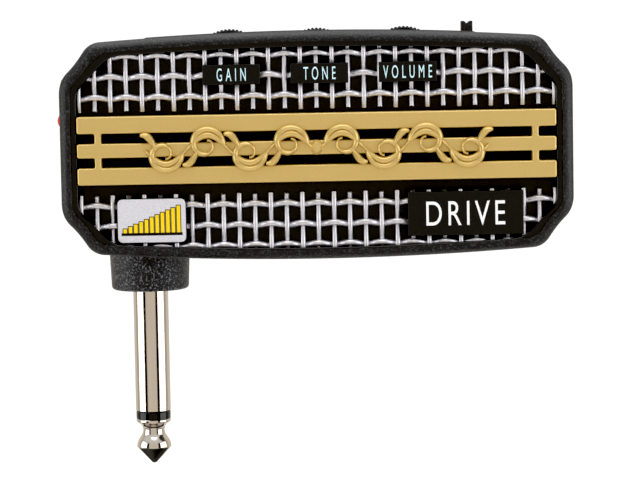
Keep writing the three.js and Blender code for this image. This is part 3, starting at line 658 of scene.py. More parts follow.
def make_front_shell():
    """Front shell: a deep bezel whose face opening holds the grille."""
    rings = [case_ring(WALL, 0), case_ring(SEAM, 0), case_ring(0, -SEAM)]
    rings += [case_ring(inset, y) for inset, y in rounding(FACE_Y, -1)]
    lip = 0.3
    rings += [opening_ring(-LEDGE - lip * (1 - math.sin(turn)),
                           FACE_Y + lip * (1 - math.cos(turn))) for turn in quarter_turns(4)]
    rings += [opening_ring(-LEDGE, FACE_Y + BEZEL_THICK), case_ring(WALL, FACE_Y + BEZEL_THICK)]
    shell = loft("front_shell_skin", rings, closed=True)
    barrel_cuts(shell)
    side_hole(shell, LIGHT_HOLE, span("power_led")[1].y - LIGHT_DEPTH + FIT,
              centre_of("power_led").z)
    low, high = span("control_strip")
    recess = [strip_section(x, -1.05, 2.5, low.y - FIT, high.y + FIT)
              for x in steps(low.x - FIT, high.x + FIT, 60)]
    carve(shell, loft("cut", recess))
    scoop_half, scoop_depth = 24, 1.6
    scoop = [strip_section(x, -0.95, 2.5, low.y - scoop_depth, low.y + 0.1)
             for x in steps(CENTRE_X - scoop_half, CENTRE_X + scoop_half, 50)]
    carve(shell, loft("cut", scoop))
    control_cuts(shell)
    return settle(shell, "case", "case_plastic", "front_shell", material="case")


def make_ledge():
    """Smooth ledge round the face opening, a step below the grained face."""
    outer, lip = -LEDGE - 0.02, 0.3
    rings = [opening_ring(outer, FACE_Y + 0.42), opening_ring(-0.34, FACE_Y + 0.5)]
    rings += [opening_ring(-lip * (1 - math.sin(turn)), FACE_Y + 0.8 - lip * math.cos(turn))
              for turn in quarter_turns(5)]
    rings += [opening_ring(inset, FACE_Y + BEZEL_THICK) for inset in (0, outer)]
    ledge = loft("bezel_ledge", rings, closed=True)
    return settle(ledge, "case", "case_plastic", material="film")


def strip_section(x, low, high, front, back):
    """A cross-section that follows the case's top edge, between two heights and two depths."""
    top = top_of_case(x)
    return [(x, front, top + low), (x, back, top + low), (x, back, top + high),
            (x, front, top + high)]


def rear_outer():
    rings = [case_ring(SEAM, 0.02), case_ring(0, SEAM)]
    rings += [case_ring(inset, y) for inset, y in rounding(BACK_Y, 1)]
    return loft("rear_shell_skin", rings)


def door_block(name, growth):
    """The space that the door takes in the case's back."""
    low, high = span("battery_door")
    tongue = 0.9
    skin = block(name, (low.x - growth, low.y - growth, low.z + tongue - growth),
                 (high.x + 2, BACK_Y + 1, high.z - tongue + growth))
    lip = block("tongues", (low.x + tongue - growth, low.y - growth, low.z - growth),
                (high.x + 2, low.y + 0.8 + growth, high.z + growth))
    return carve(skin, lip, "UNION")


def make_rear_shell():
    """Rear shell: an open box with the battery bay moulded into it."""
    shell = rear_outer()
    carve(shell, loft("cut", [case_ring(WALL, -1), case_ring(WALL, BACK_Y - WALL)]))
    cells = span("upper_cell")[1], span("lower_cell")[0]
    bay_low = Vector((span("negative_terminal")[0].x - 0.1, cells[1].y - 0.15, cells[1].z - 0.15))
    bay_high = Vector((span("cell_bridge")[1].x + 0.1, BACK_Y - 0.9, cells[0].z + 0.15))
    rim = Vector((1, 1, 1))
    carve(shell, block("bay", bay_low - rim, bay_high + Vector((1, 0, 1))), "UNION")
    for screw in CASE_SCREWS:
        middle = centre_of(screw)
        carve(shell, rod("post", "y", 3, 0.1, BACK_Y - 1, (middle.x, 0, middle.z)), "UNION")
    carve(shell, block("cut", bay_low, bay_high + Vector((0, 2, 0))))
    carve(shell, door_block("door_space", FIT))
    for screw in CASE_SCREWS:
        axis = centre_of(screw) * Vector((1, 0, 1))
        for radius, start in ((1.15, -1), (1.95, span(screw)[1].y - SCREW_HEAD)):
            carve(shell, rod("cut", "y", radius, start, BACK_Y + 1, axis))
    barrel_cuts(shell)
    return settle(shell, "case", "case_plastic", "rear_shell", material="case")


def make_battery_door():
    """Battery door: a slice of the case's back with tongues, and a grooved thumb grip."""
    door = rear_outer()
    door.name = "battery_door_skin"
    carve(door, door_block("door_space", 0), "INTERSECT")
    low, _ = span("battery_door")
    grooves, pitch, groove_depth = 7, 1.3, 0.45
    for groove in range(grooves):
        x = low.x + 5 + groove * pitch
        half = 6.2 - 0.45 * abs(groove - grooves // 2)
        carve(door, block("cut", (x, BACK_Y - groove_depth, CENTRE_Z - half),
                          (x + pitch / 2, BACK_Y + 1, CENTRE_Z + half)))
    soften(door, 0.12, 50, 2)
    return settle(door, "battery_door", "case_plastic", "battery_door", material="case")


class AMP_OT_case(bpy.types.Operator):
    """Builds the two shells and the battery door"""

    bl_idname = "amp.case"
    bl_label = "Case"

    def execute(self, context):
        make_front_shell()
        make_ledge()
        make_rear_shell()
        make_battery_door()
        return {"FINISHED"}


# ------------------------------------------------------------------ grille

WIRE_SIDES = 12
LEVEL_WIRE_OVER_UPRIGHT = 1.3  # thickness of the level wires against the upright ones
COLUMN_SHIFT = 0.1  # middle upright wire from the case's middle
FIRST_UPPER_ROW = 2.32  # first level wire above the panel
FIRST_LOWER_ROW = 1.85  # first level wire below the panel


def tube(points, radius):
    """Points and faces of a round wire through points, with flat ends."""
    found, faces, sides = [], [], WIRE_SIDES
    for index, point in enumerate(points):
        before = points[max(index - 1, 0)]
        after = points[min(index + 1, len(points) - 1)]
        along = (after - before).normalized()
        side = Vector((0, 1, 0))
        across = along.cross(side).normalized()
        side = across.cross(along).normalized()
        for turn in range(sides):
            angle = 2 * math.pi * turn / sides
            found.append(point + across * radius * math.cos(angle)
                         + side * radius * math.sin(angle))
    for row in range(len(points) - 1):
        for turn in range(sides):
            after = (turn + 1) % sides
            faces.append((row * sides + turn, row * sides + after,
                          (row + 1) * sides + after, (row + 1) * sides + turn))
    faces.append(tuple(range(sides)))
    faces.append(tuple(reversed([(len(points) - 1) * sides + turn for turn in range(sides)])))
    return found, faces


def opening_limits(ring, axis, value):
    """Where a line at a value of x (axis 0) or z (axis 2) crosses the opening's outline."""
    other = 2 - axis
    hits = []
    for first, second in zip(ring, ring[1:] + ring[:1]):
        gap_a, gap_b = first[axis] - value, second[axis] - value
        if (gap_a < 0) != (gap_b < 0):
            share = gap_a / (gap_a - gap_b)
            hits.append(first[other] + share * (second[other] - first[other]))
    return (min(hits), max(hits)) if hits else None


def weave(name, node, low_z, high_z, row_z, mesh_y):
    """One field of plain-woven crimped wire, cut to the opening's outline and to two heights."""
    radius = mm("wire") / 2
    pitch_x, pitch_z = mm("wire_pitch_x"), mm("wire_pitch_z")
    ring = opening_ring(-0.55, 0)
    upright_swing, level_swing, arch = 0.38, 0.46, 0.2
    points, faces = [], []

    def add(path, thickness=1.0):
        found, skin = tube(path, radius * thickness)
        base = len(points)
        points.extend(found)
        faces.extend([tuple(base + corner for corner in face) for face in skin])

    for column in range(-15, 16):
        x = CENTRE_X + COLUMN_SHIFT + column * pitch_x
        limits = opening_limits(ring, 0, x)
        if not limits:
            continue
        start, end = max(low_z, limits[0]), min(high_z, limits[1])
        if end - start < 1:
            continue
        path = []
        for z in steps(start, end, max(8, int((end - start) * 5))):
            phase = math.pi * ((z - row_z) / pitch_z + column)
            path.append(Vector((x, mesh_y + upright_swing * math.cos(phase), z)))
        add(path)
    for row in range(-4, 5):
        z = row_z + row * pitch_z
        if not low_z < z < high_z:
            continue
        limits = opening_limits(ring, 2, z)
        if not limits:
            continue
        path = []
        for x in steps(limits[0], limits[1], 240):
            column = (x - CENTRE_X - COLUMN_SHIFT) / pitch_x
            phase = math.pi * (column + row)
            path.append(Vector((x, mesh_y - level_swing * math.cos(phase),
                                z + arch * math.cos(phase))))
        add(path, LEVEL_WIRE_OVER_UPRIGHT)
    piece = make_piece(name, points, faces)
    return settle(piece, "case", "mesh_wire", node, material="wire")


class AMP_OT_grille(bpy.types.Operator):
    """Builds the two fields of woven wire"""

    bl_idname = "amp.grille"
    bl_label = "Grille"

    def execute(self, context):
        mesh_y = centre_of("upper_grille").y
        upper = span("upper_grille")[0].z
        lower = span("lower_grille")[1].z
        weave("upper_grille_wire", "upper_grille", upper, OPEN_TOP + 2,
              upper + FIRST_UPPER_ROW, mesh_y)
        weave("lower_grille_wire", "lower_grille", OPEN_BOTTOM - 2, lower,
              lower - FIRST_LOWER_ROW, mesh_y)
        give_finish(frame["nodes"]["grille_backing"], "plate")
        return {"FINISHED"}


# ------------------------------------------------------------------ gold panel

def rounded_corners(points, radius, count=5):
    """Rounds the corners of a closed outline, with a number of points to each."""
    result = []
    for index, corner in enumerate(points):
        corner = Vector(corner)
        before = Vector(points[index - 1]) - corner
        after = Vector(points[(index + 1) % len(points)]) - corner
        reach = min(radius, before.length / 2.01, after.length / 2.01)
        start = corner + before.normalized() * reach
        end = corner + after.normalized() * reach
        result += bezier(start, corner, end, count) + [tuple(end)]
    return result


def plate_from(name, loops, front, back, edge):
    """A plate with holes from closed outlines, with rounded front and back edges."""
    curve = bpy.data.curves.new(name, "CURVE")
    curve.dimensions = "2D"
    curve.fill_mode = "BOTH"
    for loop in loops:
        spline = curve.splines.new("POLY")
        spline.points.add(len(loop) - 1)
        for point, (x, z) in zip(spline.points, loop):
            point.co = (x * MM, z * MM, 0, 1)
        spline.use_cyclic_u = True
    curve.bevel_depth = edge * MM
    curve.bevel_resolution = 3
    curve.extrude = (abs(back - front) / 2 - edge) * MM
    curve.offset = -edge * MM
    mesh = mesh_of_curve(name, curve)
    mesh.transform(Matrix.Translation((0, (front + back) / 2 * MM, 0)) @ UPRIGHT)
    return weld(add_object(name, mesh))


def mesh_of_curve(name, curve):
    """The mesh that a curve or a text makes."""
    source = add_object(name, curve)
    bpy.context.view_layer.update()
    mesh = bpy.data.meshes.new_from_object(source)
    bpy.data.objects.remove(source)
    return mesh


UPRIGHT = Matrix.Rotation(math.pi / 2, 4, "X")  # from a level plane to the case's face
BAR_HEIGHT = 3.0
SLOT_HEIGHT = 1.75
POST_WIDTH = 1.15
POST_INSET = 3.0
PANEL_REACH = 0.1  # bars' ends, nearer to the opening's sides than the posts' inset counts from


def make_panel():
    """Gold panel: three bars joined by two posts, as one plate."""
    low, high = span("trim_panel")
    left = low.x + POST_INSET
    right = high.x - POST_INSET
    low.x, high.x = low.x - PANEL_REACH, high.x + PANEL_REACH
    z1, z2 = low.z + BAR_HEIGHT, low.z + BAR_HEIGHT + SLOT_HEIGHT
    z3, z4 = high.z - BAR_HEIGHT - SLOT_HEIGHT, high.z - BAR_HEIGHT
    outer = [
        (low.x, low.z), (high.x, low.z), (high.x, z1), (right, z1), (right, z2), (high.x, z2),
        (high.x, z3), (right, z3), (right, z4), (high.x, z4), (high.x, high.z), (low.x, high.z),
        (low.x, z4), (left, z4), (left, z3), (low.x, z3), (low.x, z2), (left, z2), (left, z1),
        (low.x, z1),
    ]
    inner_left, inner_right = left + POST_WIDTH, right - POST_WIDTH
    loops = [rounded_corners(outer, 0.4)]
    for bottom, top in ((z1, z2), (z3, z4)):
        hole = [(inner_left, bottom), (inner_left, top), (inner_right, top),
                (inner_right, bottom)]
        loops.append(rounded_corners(hole, 0.3))
    panel = plate_from("trim_panel_bars", loops, low.y, high.y, mm("bar_edge"))
    return settle(panel, "case", "gold_paint", "trim_panel", material="gold")


def ribbon(path, widths, base_y, rise):
    """Points and faces of a raised strip with a half-round section along a flat path."""
    points, faces, sides = [], [], 8
    count = len(path)
    for index, (x, z) in enumerate(path):
        before = Vector(path[max(index - 1, 0)])
        after = Vector(path[min(index + 1, count - 1)])
        along = (after - before).normalized()
        across = Vector((-along.y, along.x))
        for step in range(sides + 1):
            turn = math.pi * step / sides
            side = math.cos(turn) * widths[index] / 2
            lift = math.sin(turn) * rise * min(1.0, widths[index] / 0.7)
            points.append((x + across.x * side, base_y - lift, z + across.y * side))
    row = sides + 1
    for index in range(count - 1):
        for step in range(sides):
            faces.append((index * row + step, (index + 1) * row + step,
                          (index + 1) * row + step + 1, index * row + step + 1))
        faces.append((index * row + sides, (index + 1) * row + sides, (index + 1) * row,
                      index * row))
    faces.append(tuple(range(row)))
    faces.append(tuple(reversed([(count - 1) * row + step for step in range(row)])))
    return points, faces


def spiral_curl(start, heading, turns, radius, side):
    """A curl that leaves a stem and winds in on itself, thinner towards its eye."""
    path, widths, wide, narrow = [], [], 1.25, 0.5
    count = int(48 * turns)
    spot = Vector(start)
    for index in range(count + 1):
        share = index / count
        path.append(tuple(spot))
        swell = math.sin(math.pi * min(1, 0.2 + share)) ** 1.2
        widths.append(narrow + (wide - narrow) * swell)
        bend = radius * (1 - 0.78 * share)
        stride = 2 * math.pi * turns * bend / count
        heading += side * 2 * math.pi * turns / count
        spot = spot + Vector((math.cos(heading), math.sin(heading))) * stride
    widths[-1] = 0.9
    return path, widths


def make_ornament():
    """Raised gold scroll: a waving stem with a curl on every crest, the same to both sides."""
    low, high = span("trim_panel")
    middle_z = (low.z + high.z) / 2
    face = low.y + 0.12
    wave, swing, half_waves, start_x = 14.6, 2.5, 4, 0.8
    pieces = []

    def add(path, widths):
        points, faces = ribbon(path, widths, face, mm("ornament_rise"))
        pieces.append(make_piece("ribbon", points, faces))

    for side in (-1, 1):
        path, widths = [], []
        reach = wave / 2 * half_waves
        for index in range(201):
            along = reach * index / 200
            path.append((CENTRE_X + side * (start_x + along),
                         middle_z + swing * math.sin(2 * math.pi * along / wave)))
            widths.append(0.6 + 0.75 * abs(math.sin(2 * math.pi * along / wave)) ** 1.5)
        add(path, widths)
        for crest in range(half_waves):
            along = wave / 2 * crest + wave * 0.055
            up = 1 if crest % 2 == 0 else -1
            start = (CENTRE_X + side * (start_x + along),
                     middle_z + swing * math.sin(2 * math.pi * along / wave))
            heading = up * side * math.radians(88)
            if side < 0:
                heading = math.pi + heading
            add(*spiral_curl(start, heading, 1.25, 3.1, -up * side))
            leaf_x = CENTRE_X + side * (start_x + along + wave * 0.32)
            leaf_z = middle_z - up * 0.4
            leaf = [(leaf_x + side * 2.6 * step / 12,
                     leaf_z - up * (2.2 * step / 12 + 0.8 * math.sin(math.pi * step / 12)))
                    for step in range(13)]
            add(leaf, [0.35 + 0.95 * math.sin(math.pi * (0.12 + 0.8 * step / 12))
                       for step in range(13)])
    gem = lathe("ribbon", [(0, face - 0.85), (0.75, face - 0.7), (1.3, face), (0, face)], "y",
                (CENTRE_X, 0, middle_z), 32)
    ornament = join("panel_scroll", [*pieces, face_out(gem)])
    return settle(ornament, "case", "gold_paint", material="gold")


class AMP_OT_panel(bpy.types.Operator):
    """Builds the gold panel and its raised ornament"""

    bl_idname = "amp.panel"
    bl_label = "Gold panel"

    def execute(self, context):
        make_panel()
        make_ornament()
        return {"FINISHED"}


# ------------------------------------------------------------------ legends and badge

def make_tag(node):
    """A flat black tag with softened edges."""
    tag = soften(block(f"{node}_plate", *span(node)), 0.12)
    return settle(tag, "case", "black_plate", node, material="film")


CAPITAL_SHARE = 0.73  # height of a capital against the letter's size
INK_THICK = 0.015


def legend(name, words, node, height, squeeze, spacing, ink):
    """Printed capitals centred on a tag, narrow and widely spaced."""
    low, high = span(node)
    curve = bpy.data.curves.new(name, "FONT")
    curve.body = words
    curve.align_x = "CENTER"
    curve.align_y = "CENTER"
    curve.size = height / CAPITAL_SHARE * MM
    curve.space_character = spacing
    curve.extrude = INK_THICK * MM
    curve.resolution_u = 6
    mesh = mesh_of_curve(name, curve)
    xs = [vertex.co.x for vertex in mesh.vertices]
    zs = [vertex.co.y for vertex in mesh.vertices]
    middle = Vector(((min(xs) + max(xs)) / 2, (min(zs) + max(zs)) / 2, 0))
    spot = Vector(((low.x + high.x) / 2, low.y - 0.02, (low.z + high.z) / 2)) * MM
    mesh.transform(Matrix.Translation(spot) @ UPRIGHT
                   @ Matrix.Diagonal((squeeze, 1, 1, 1)) @ Matrix.Translation(-middle))
    return settle(add_object(name, mesh), "case", "black_plate", material=ink)


def upright_box(left, right, bottom, top):
    """The corners of an upright rectangle."""
    return [(left, bottom), (right, bottom), (right, top), (left, top)]


def make_badge():
    """Silver badge with a plain level meter: yellow bars that rise in even steps."""
    low, high = span("badge")
    middle = (low + high) / 2
    face = low.y

    def plate(name, inset, corner, front, edge):
        box = upright_box(low.x + inset, high.x - inset, low.z + inset, high.z - inset)
        return plate_from(name, [rounded_corners(box, corner, 6)], front, high.y, edge)

    settle(plate("badge_rim", 0, 1.1, face + 0.05, 0.05), "case", "badge_silver",
           material="film")
    settle(plate("badge_ground", 0.14, 1.0, face, 0.06), "case", "badge_silver", "badge",
           material="badge")

    def mark(box, rise, edge):
        return plate_from("mark", [upright_box(*box)], face - rise, face, edge)

    count, width, gap, margin, rule = 11, 0.62, 0.32, 0.14, 0.35
    shortest, climb = 0.7, 4.0
    start = middle.x - (count * width + (count - 1) * gap) / 2
    end = 2 * middle.x - start
    base = middle.z - 2.1
    bars, shadows = [], [mark((start - rule, end + rule, base - 0.5, base), 0.02, 0.005)]
    for index in range(count):
        left = start + index * (width + gap)
        top = base + (shortest + climb * index / (count - 1))
        bars.append(mark((left, left + width, base, top), 0.06, 0.012))
        shadows.append(mark((left - margin, left + width + margin, base, top + margin),
                            0.02, 0.005))
    settle(join("badge_shadows", shadows), "case", "badge_silver", material="film")
    settle(join("badge_bars", bars), "case", "badge_silver", material="badge_mark")


class AMP_OT_labels(bpy.types.Operator):
    """Builds the tags, their generic legends and the badge"""

    bl_idname = "amp.labels"
    bl_label = "Labels"

    def execute(self, context):
        words = {"gain_tag": "GAIN", "tone_tag": "TONE", "volume_tag": "VOLUME"}
        for node, word in words.items():
            make_tag(node)
            legend(f"{word.lower()}_legend", word, node, mm("legend_height"), 0.46, 1.75,
                   "legend")
        make_tag("voice_tag")
        legend("voice_legend", "DRIVE", "voice_tag", mm("voice_height"), 0.7, 1.3, "voice")
        make_badge()
        return {"FINISHED"}


# ------------------------------------------------------------------ controls

def make_strip():
    """Black strip let into the top edge, with slots for the controls."""
    low, high = span("control_strip")
    edge, proud = 0.3, 0.15
    rings = []
    for x in steps(low.x, high.x, 80):
        foot = top_of_case(x) - 0.9
        top = top_of_case(x) + proud
        end = min(x - low.x, high.x - x)
        drop = edge - math.sqrt(max(0.0, edge ** 2 - max(0.0, edge - end) ** 2))
        rings.append([
            (x, low.y, foot), (x, high.y, foot), (x, high.y, top - edge),
            (x, high.y - edge * 0.3, top - edge * 0.3 - drop), (x, high.y - edge, top - drop),
            (x, low.y + edge, top - drop), (x, low.y + edge * 0.3, top - edge * 0.3 - drop),
            (x, low.y, top - edge),
        ])
    strip = loft("control_strip_top", rings)
    control_cuts(strip)
    return settle(strip, "case", "rubber", "control_strip", material="rubber")


def make_wheel(node):
    """Thumbwheel: ribs all round, faded at both faces, and a hub."""
    low, high = span(node)
    axis_x, axis_z = (low.x + high.x) / 2, (low.z + high.z) / 2
    radius = (high.x - low.x) / 2
    ribs, fine = 60, 6
    stations = [(0.0, 0.42, 0.0), (0.18, 0.18, 0.5), (0.45, 0.0, 1.0)]
    profile = [(low.y + depth, shrink, share) for depth, shrink, share in stations]
    profile += [(high.y - depth, shrink, share) for depth, shrink, share in reversed(stations)]
    hub, dish, rim = 1.6, 0.35, radius - 1.0

    def circle(y, size, rib_depth=0.0):
        found = []
        for index in range(ribs * fine):
            turn = 2 * math.pi * index / (ribs * fine)
            ridge = abs(math.cos(turn * ribs / 2)) ** 0.8
            reach = size - rib_depth * (1 - ridge)
            found.append((axis_x + reach * math.sin(turn), y, axis_z + reach * math.cos(turn)))
        return found

    rings = [circle(low.y, hub), circle(low.y, 3.2), circle(low.y + dish, 3.4),
             circle(low.y + dish, radius - 1.2), circle(low.y, rim)]
    rings += [circle(y, radius - shrink, mm("rib_depth") * share)
              for y, shrink, share in profile]
    rings += [circle(high.y, rim), circle(high.y, hub)]
    wheel = loft(f"{node}_ribbed", rings, closed=True)
    return settle(wheel, node, "rubber", node, material="rubber")


def make_lever():
    """Slide switch lever: two finger ridges with a notch between them."""
    low, high = span("power_lever")
    middle = (low.x + high.x) / 2
    notch, half_notch = 0.45, 0.5
    flat = [(low.x, low.z), (high.x, low.z), (high.x, high.z), (middle + half_notch, high.z),
            (middle, high.z - notch), (middle - half_notch, high.z), (low.x, high.z)]
    rings = [[(x, y, z) for x, z in flat] for y in (low.y, high.y)]
    lever = soften(loft("power_lever_grip", rings), 0.1, 30, 2)
    return settle(lever, "power_lever", "case_plastic", "power_lever", material="case")


class AMP_OT_controls(bpy.types.Operator):
    """Builds the top strip, the thumbwheels and the power lever"""

    bl_idname = "amp.controls"
    bl_label = "Controls"

    def execute(self, context):
        make_strip()
        for node in WHEELS:
            make_wheel(node)
        make_lever()
        return {"FINISHED"}


# ------------------------------------------------------------------ plug and barrel

def make_barrel():
    """Tapered barrel that carries the plug, in coarse grained plastic."""
    high = span("jack_barrel")[1]
    end_radius, top_radius, bore, neck = 7.0, high.x, 3.0, 6.0
    edge, groove = 0.7, 2.7
    seat = FRONT_LOW.z + 1.65
    profile = [(bore, 0.35), (3.45, 0), (end_radius - edge, 0)]
    for step in steps(-90, -4, 7):
        turn = math.radians(step)
        profile.append((end_radius - edge + edge * math.cos(turn), edge + edge * math.sin(turn)))
    profile += [(top_radius, seat), (neck, seat), (neck, seat + groove),
                (top_radius, seat + groove), (top_radius, high.z), (bore, high.z), (bore, 0.35)]
    barrel = weld(lathe("jack_barrel_body", profile, sides=128))
    return settle(barrel, "case", "speckled_plastic", "jack_barrel", material="barrel")


def make_plug():
    """The three conductors' pieces: sleeve, insulating ring and tip."""
    sleeve_low, sleeve_high = span("plug_sleeve")
    ring_low, ring_high = span("plug_insulator")
    tip_low, tip_high = span("plug_tip")
    radius = sleeve_high.x
    sleeve = weld(lathe("plug_sleeve_turned", [
        (1.6, sleeve_low.z), (radius - 0.12, sleeve_low.z), (radius, sleeve_low.z + 0.12),
        (radius, -0.1), (2.9, -0.1), (2.9, sleeve_high.z), (1.6, sleeve_high.z),
        (1.6, sleeve_low.z)], sides=128))
    settle(sleeve, "case", "plug_nickel", "plug_sleeve", material="nickel")
    ring = weld(lathe("plug_insulator_ring", [
        (0.9, ring_low.z), (radius - 0.1, ring_low.z), (radius - 0.05, ring_low.z + 0.06),
        (radius - 0.05, sleeve_low.z - 0.16), (radius - 0.1, sleeve_low.z - 0.1),
        (1.5, sleeve_low.z - 0.1), (1.5, ring_high.z), (0.9, ring_high.z), (0.9, ring_low.z)],
        sides=128))
    settle(ring, "case", "black_plate", "plug_insulator", material="ring")
    top = ring_low.z - 0.1
    bottom = tip_low.z
    profile = [(0, bottom), (0.36, bottom), (0.46, bottom + 0.08),
               (radius - 0.14, bottom + 2.82), (radius - 0.06, bottom + 2.95)]
    for drop, size in ((3.15, 3.12), (3.5, 3.08), (3.95, 2.95), (4.45, 2.68), (4.9, 2.36),
                       (5.3, 2.12), (5.7, 2.0), (6.1, 1.96), (6.45, 2.0), (6.8, 2.16),
                       (7.1, 2.42), (7.35, 2.75), (7.52, 3.0), (7.6, 3.1), (7.7, 3.125)):
        profile.append((size, bottom + drop))
    profile += [(radius - 0.05, top - 0.08), (radius - 0.12, top)]
    profile += [(0.8, top), (0.8, tip_high.z), (0, tip_high.z)]
    tip = weld(lathe("plug_tip_turned", profile, sides=128))
    settle(tip, "case", "plug_nickel", "plug_tip", material="nickel")


class AMP_OT_plug(bpy.types.Operator):
    """Builds the barrel and the jack plug"""

    bl_idname = "amp.plug"
    bl_label = "Plug"

    def execute(self, context):
        make_barrel()
        make_plug()
        return {"FINISHED"}


# ------------------------------------------------------------------ sockets and light

def make_collar(node):
    """Socket collar: a rounded ring round the hole."""
    low, high = span(node)
    middle = (low + high) / 2
    outer, bore, edge = (high.z - low.z) / 2, 2.5, 0.35
    profile = [(bore, high.x), (outer, high.x), (outer, low.x + edge)]
    profile += [(outer - edge + edge * math.cos(turn), low.x + edge - edge * math.sin(turn))
                for turn in quarter_turns(5)[1:]]
    profile += [(2.6, low.x), (bore, low.x + 0.1), (bore, high.x)]
    collar = weld(lathe(f"{node}_ring", profile, "x", (0, middle.y, middle.z), 64))
    return settle(collar, "case", "rubber", node, material="rubber")


def make_socket(node):
    """Three-and-a-half millimetre socket: a round mouth in front of a moulded box."""
    low, high = span(node)
    middle = (low + high) / 2
    body = block(f"{node}_body", (low.x + 5.3, low.y, low.z), high)
    soften(body, 0.2)
    mouth = weld(lathe("mouth", [
        (1.8, low.x + 0.25), (2.05, low.x), (2.4, low.x), (2.4, low.x + 5.5), (0, low.x + 5.5),
        (0, low.x + 5.2), (1.8, low.x + 5.2), (1.8, low.x + 0.25)], "x",
        (0, middle.y, middle.z), 64))
    socket = join(f"{node}_body", [body, mouth])
    settle(socket, "case", "black_resin", node, material="resin")
    lining = weld(lathe(f"{node}_lining", [
        (1.72, low.x + 0.7), (1.8, low.x + 0.7), (1.8, low.x + 5), (1.72, low.x + 5),
        (1.72, low.x + 0.7)], "x", (0, middle.y, middle.z), 64))
    settle(lining, "case", "spring_steel", material="steel")


def make_light():
    """Red light: a round lens on a square foot."""
    low, high = span("power_led")
    radius, shoulder = 1.5, high.x - 1.5
    profile = [(0, low.x), *[(radius * math.sin(turn), low.x + radius * (1 - math.cos(turn)))
                             for turn in quarter_turns(10)[1:]],
               (radius, shoulder), (0, shoulder)]
    axis = (0, low.y + radius + 0.2, (low.z + high.z) / 2)
    lens = face_out(lathe("power_led_lens", profile, "x", axis, 48))
    foot = block("foot", (high.x - 3, low.y, low.z), high)
    light = join("power_led_lens", [lens, foot])
    return settle(light, "case", "red_lens", "power_led", material="lens")


class AMP_OT_sockets(bpy.types.Operator):
    """Builds the side sockets, their collars and the light"""

    bl_idname = "amp.sockets"
    bl_label = "Sockets and light"

    def execute(self, context):
        for node in ("headphone_collar", "aux_collar"):
            make_collar(node)
        for node in SOCKETS:
            make_socket(node)
        make_light()
        return {"FINISHED"}


# ------------------------------------------------------------------ inner pieces

def make_cell(node, end):
    """AAA cell: a two-colour sleeve over a steel can, its button at the given end."""
    low, high = span(node)
    middle = (low + high) / 2
    radius = (high.z - low.z) / 2
    button, flat = (high.x, low.x) if end > 0 else (low.x, high.x)

    def part(name, profile, material):
        turned = weld(lathe(name, profile, "x", (0, middle.y, middle.z), 64))
        return settle(turned, "case", "foil_sleeve", material=material)

    shoulder = button - end
    split = button - end * 12
    sleeve = part(f"{node}_sleeve", [
        (radius - 0.9, flat), (radius - 0.3, flat), (radius, flat + end * 0.3), (radius, split),
        (radius - 0.4, split), (radius - 0.9, flat)], "sleeve")
    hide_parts(node)
    part(f"{node}_band", [
        (radius - 0.5, split), (radius, split), (radius, shoulder - end * 0.3),
        (radius - 0.3, shoulder), (radius - 1.2, shoulder), (radius - 0.5, split)], "cell_gold")
    part(f"{node}_can", [
        (0, flat + end * 0.05), (radius - 0.85, flat + end * 0.05), (radius - 0.6, flat + end),
        (radius - 0.6, shoulder - end * 0.6), (radius - 1.25, shoulder - end * 0.05),
        (2.2, shoulder - end * 0.1), (2.0, button - end * 0.2), (1.8, button), (0, button)],
        "steel")


def make_case_screw(node):
    """Case screw: a domed head with a cross recess, on a plain shank."""
    low, high = span(node)
    middle = (low + high) / 2
    head = (high.x - low.x) / 2
    top = high.y
    profile = [(0, top), (head * 0.5, top - 0.05), (head * 0.85, top - 0.22), (head, top - 0.5),
               (head, top - SCREW_HEAD), (1.0, top - SCREW_HEAD), (1.0, low.y + 0.6),
               (0.3, low.y), (0, low.y)]
    screw = face_out(lathe(f"{node}_turned", profile, "y", (middle.x, 0, middle.z), 48))
    for wide, tall in ((1.15, 0.24), (0.24, 1.15)):
        carve(screw, block("cut", (middle.x - wide, top - 0.75, middle.z - tall),
                           (middle.x + wide, top + 1, middle.z + tall)))
    return settle(screw, "case", "spring_steel", node, material="steel")


INNER_FINISH = {
    "plug_nut": "nickel", "ground_lug": "steel", "switch_body": "steel", "board_screw_1": "steel",
    "board_screw_2": "steel", "upper_spring": "steel", "lower_spring": "steel",
    "negative_terminal": "steel", "positive_terminal": "steel", "cell_bridge": "steel",
    "circuit_board": "board", "amplifier_chip": "resin", "preamp_chip": "resin",
    "gain_pot": "pot", "tone_pot": "pot", "volume_pot": "pot", "capacitor_1": "sleeve",
    "capacitor_2": "sleeve", "capacitor_3": "sleeve", "tip_wire": "wire_red",
    "sleeve_wire": "wire_black",
}


class AMP_OT_inside(bpy.types.Operator):
    """Builds the cells and screws, and gives the inner pieces their finishes"""

    bl_idname = "amp.inside"
    bl_label = "Inside"

    def execute(self, context):
        make_cell("upper_cell", 1)
        make_cell("lower_cell", -1)
        for node in CASE_SCREWS:
            make_case_screw(node)
        for node, name in INNER_FINISH.items():
            give_finish(frame["nodes"][node], name)
        return {"FINISHED"}


# ------------------------------------------------------------------ stage

CAMERA_DISTANCE = 0.4505  # metres
CAMERA_ELEVATION = 4.5  # degrees
CAMERA_ROLL = 1.05  # degrees
CAMERA_LENS = 139.5
LOOK_AT = Vector((0.03097, 0.0, 0.00827))  # metres
FLOOR_DROP = 70  # floor below the plug's tip, in millimetres
FLAG_DROP = 12  # flag below the plug's tip, in millimetres
LAMP_DISTANCE = 550
LAMP_HEIGHT = 30
LAMP_BEARING = 72  # degrees to either side of the front
LAMP_SIZE = (470, 520)
LAMP_RADIANCE = 1.9
LAMP_AIM = Vector((0.03, 0, 0.015))  # metres
OVERHEAD_POWER = 2.1
BLACK_LEVEL = 0.023


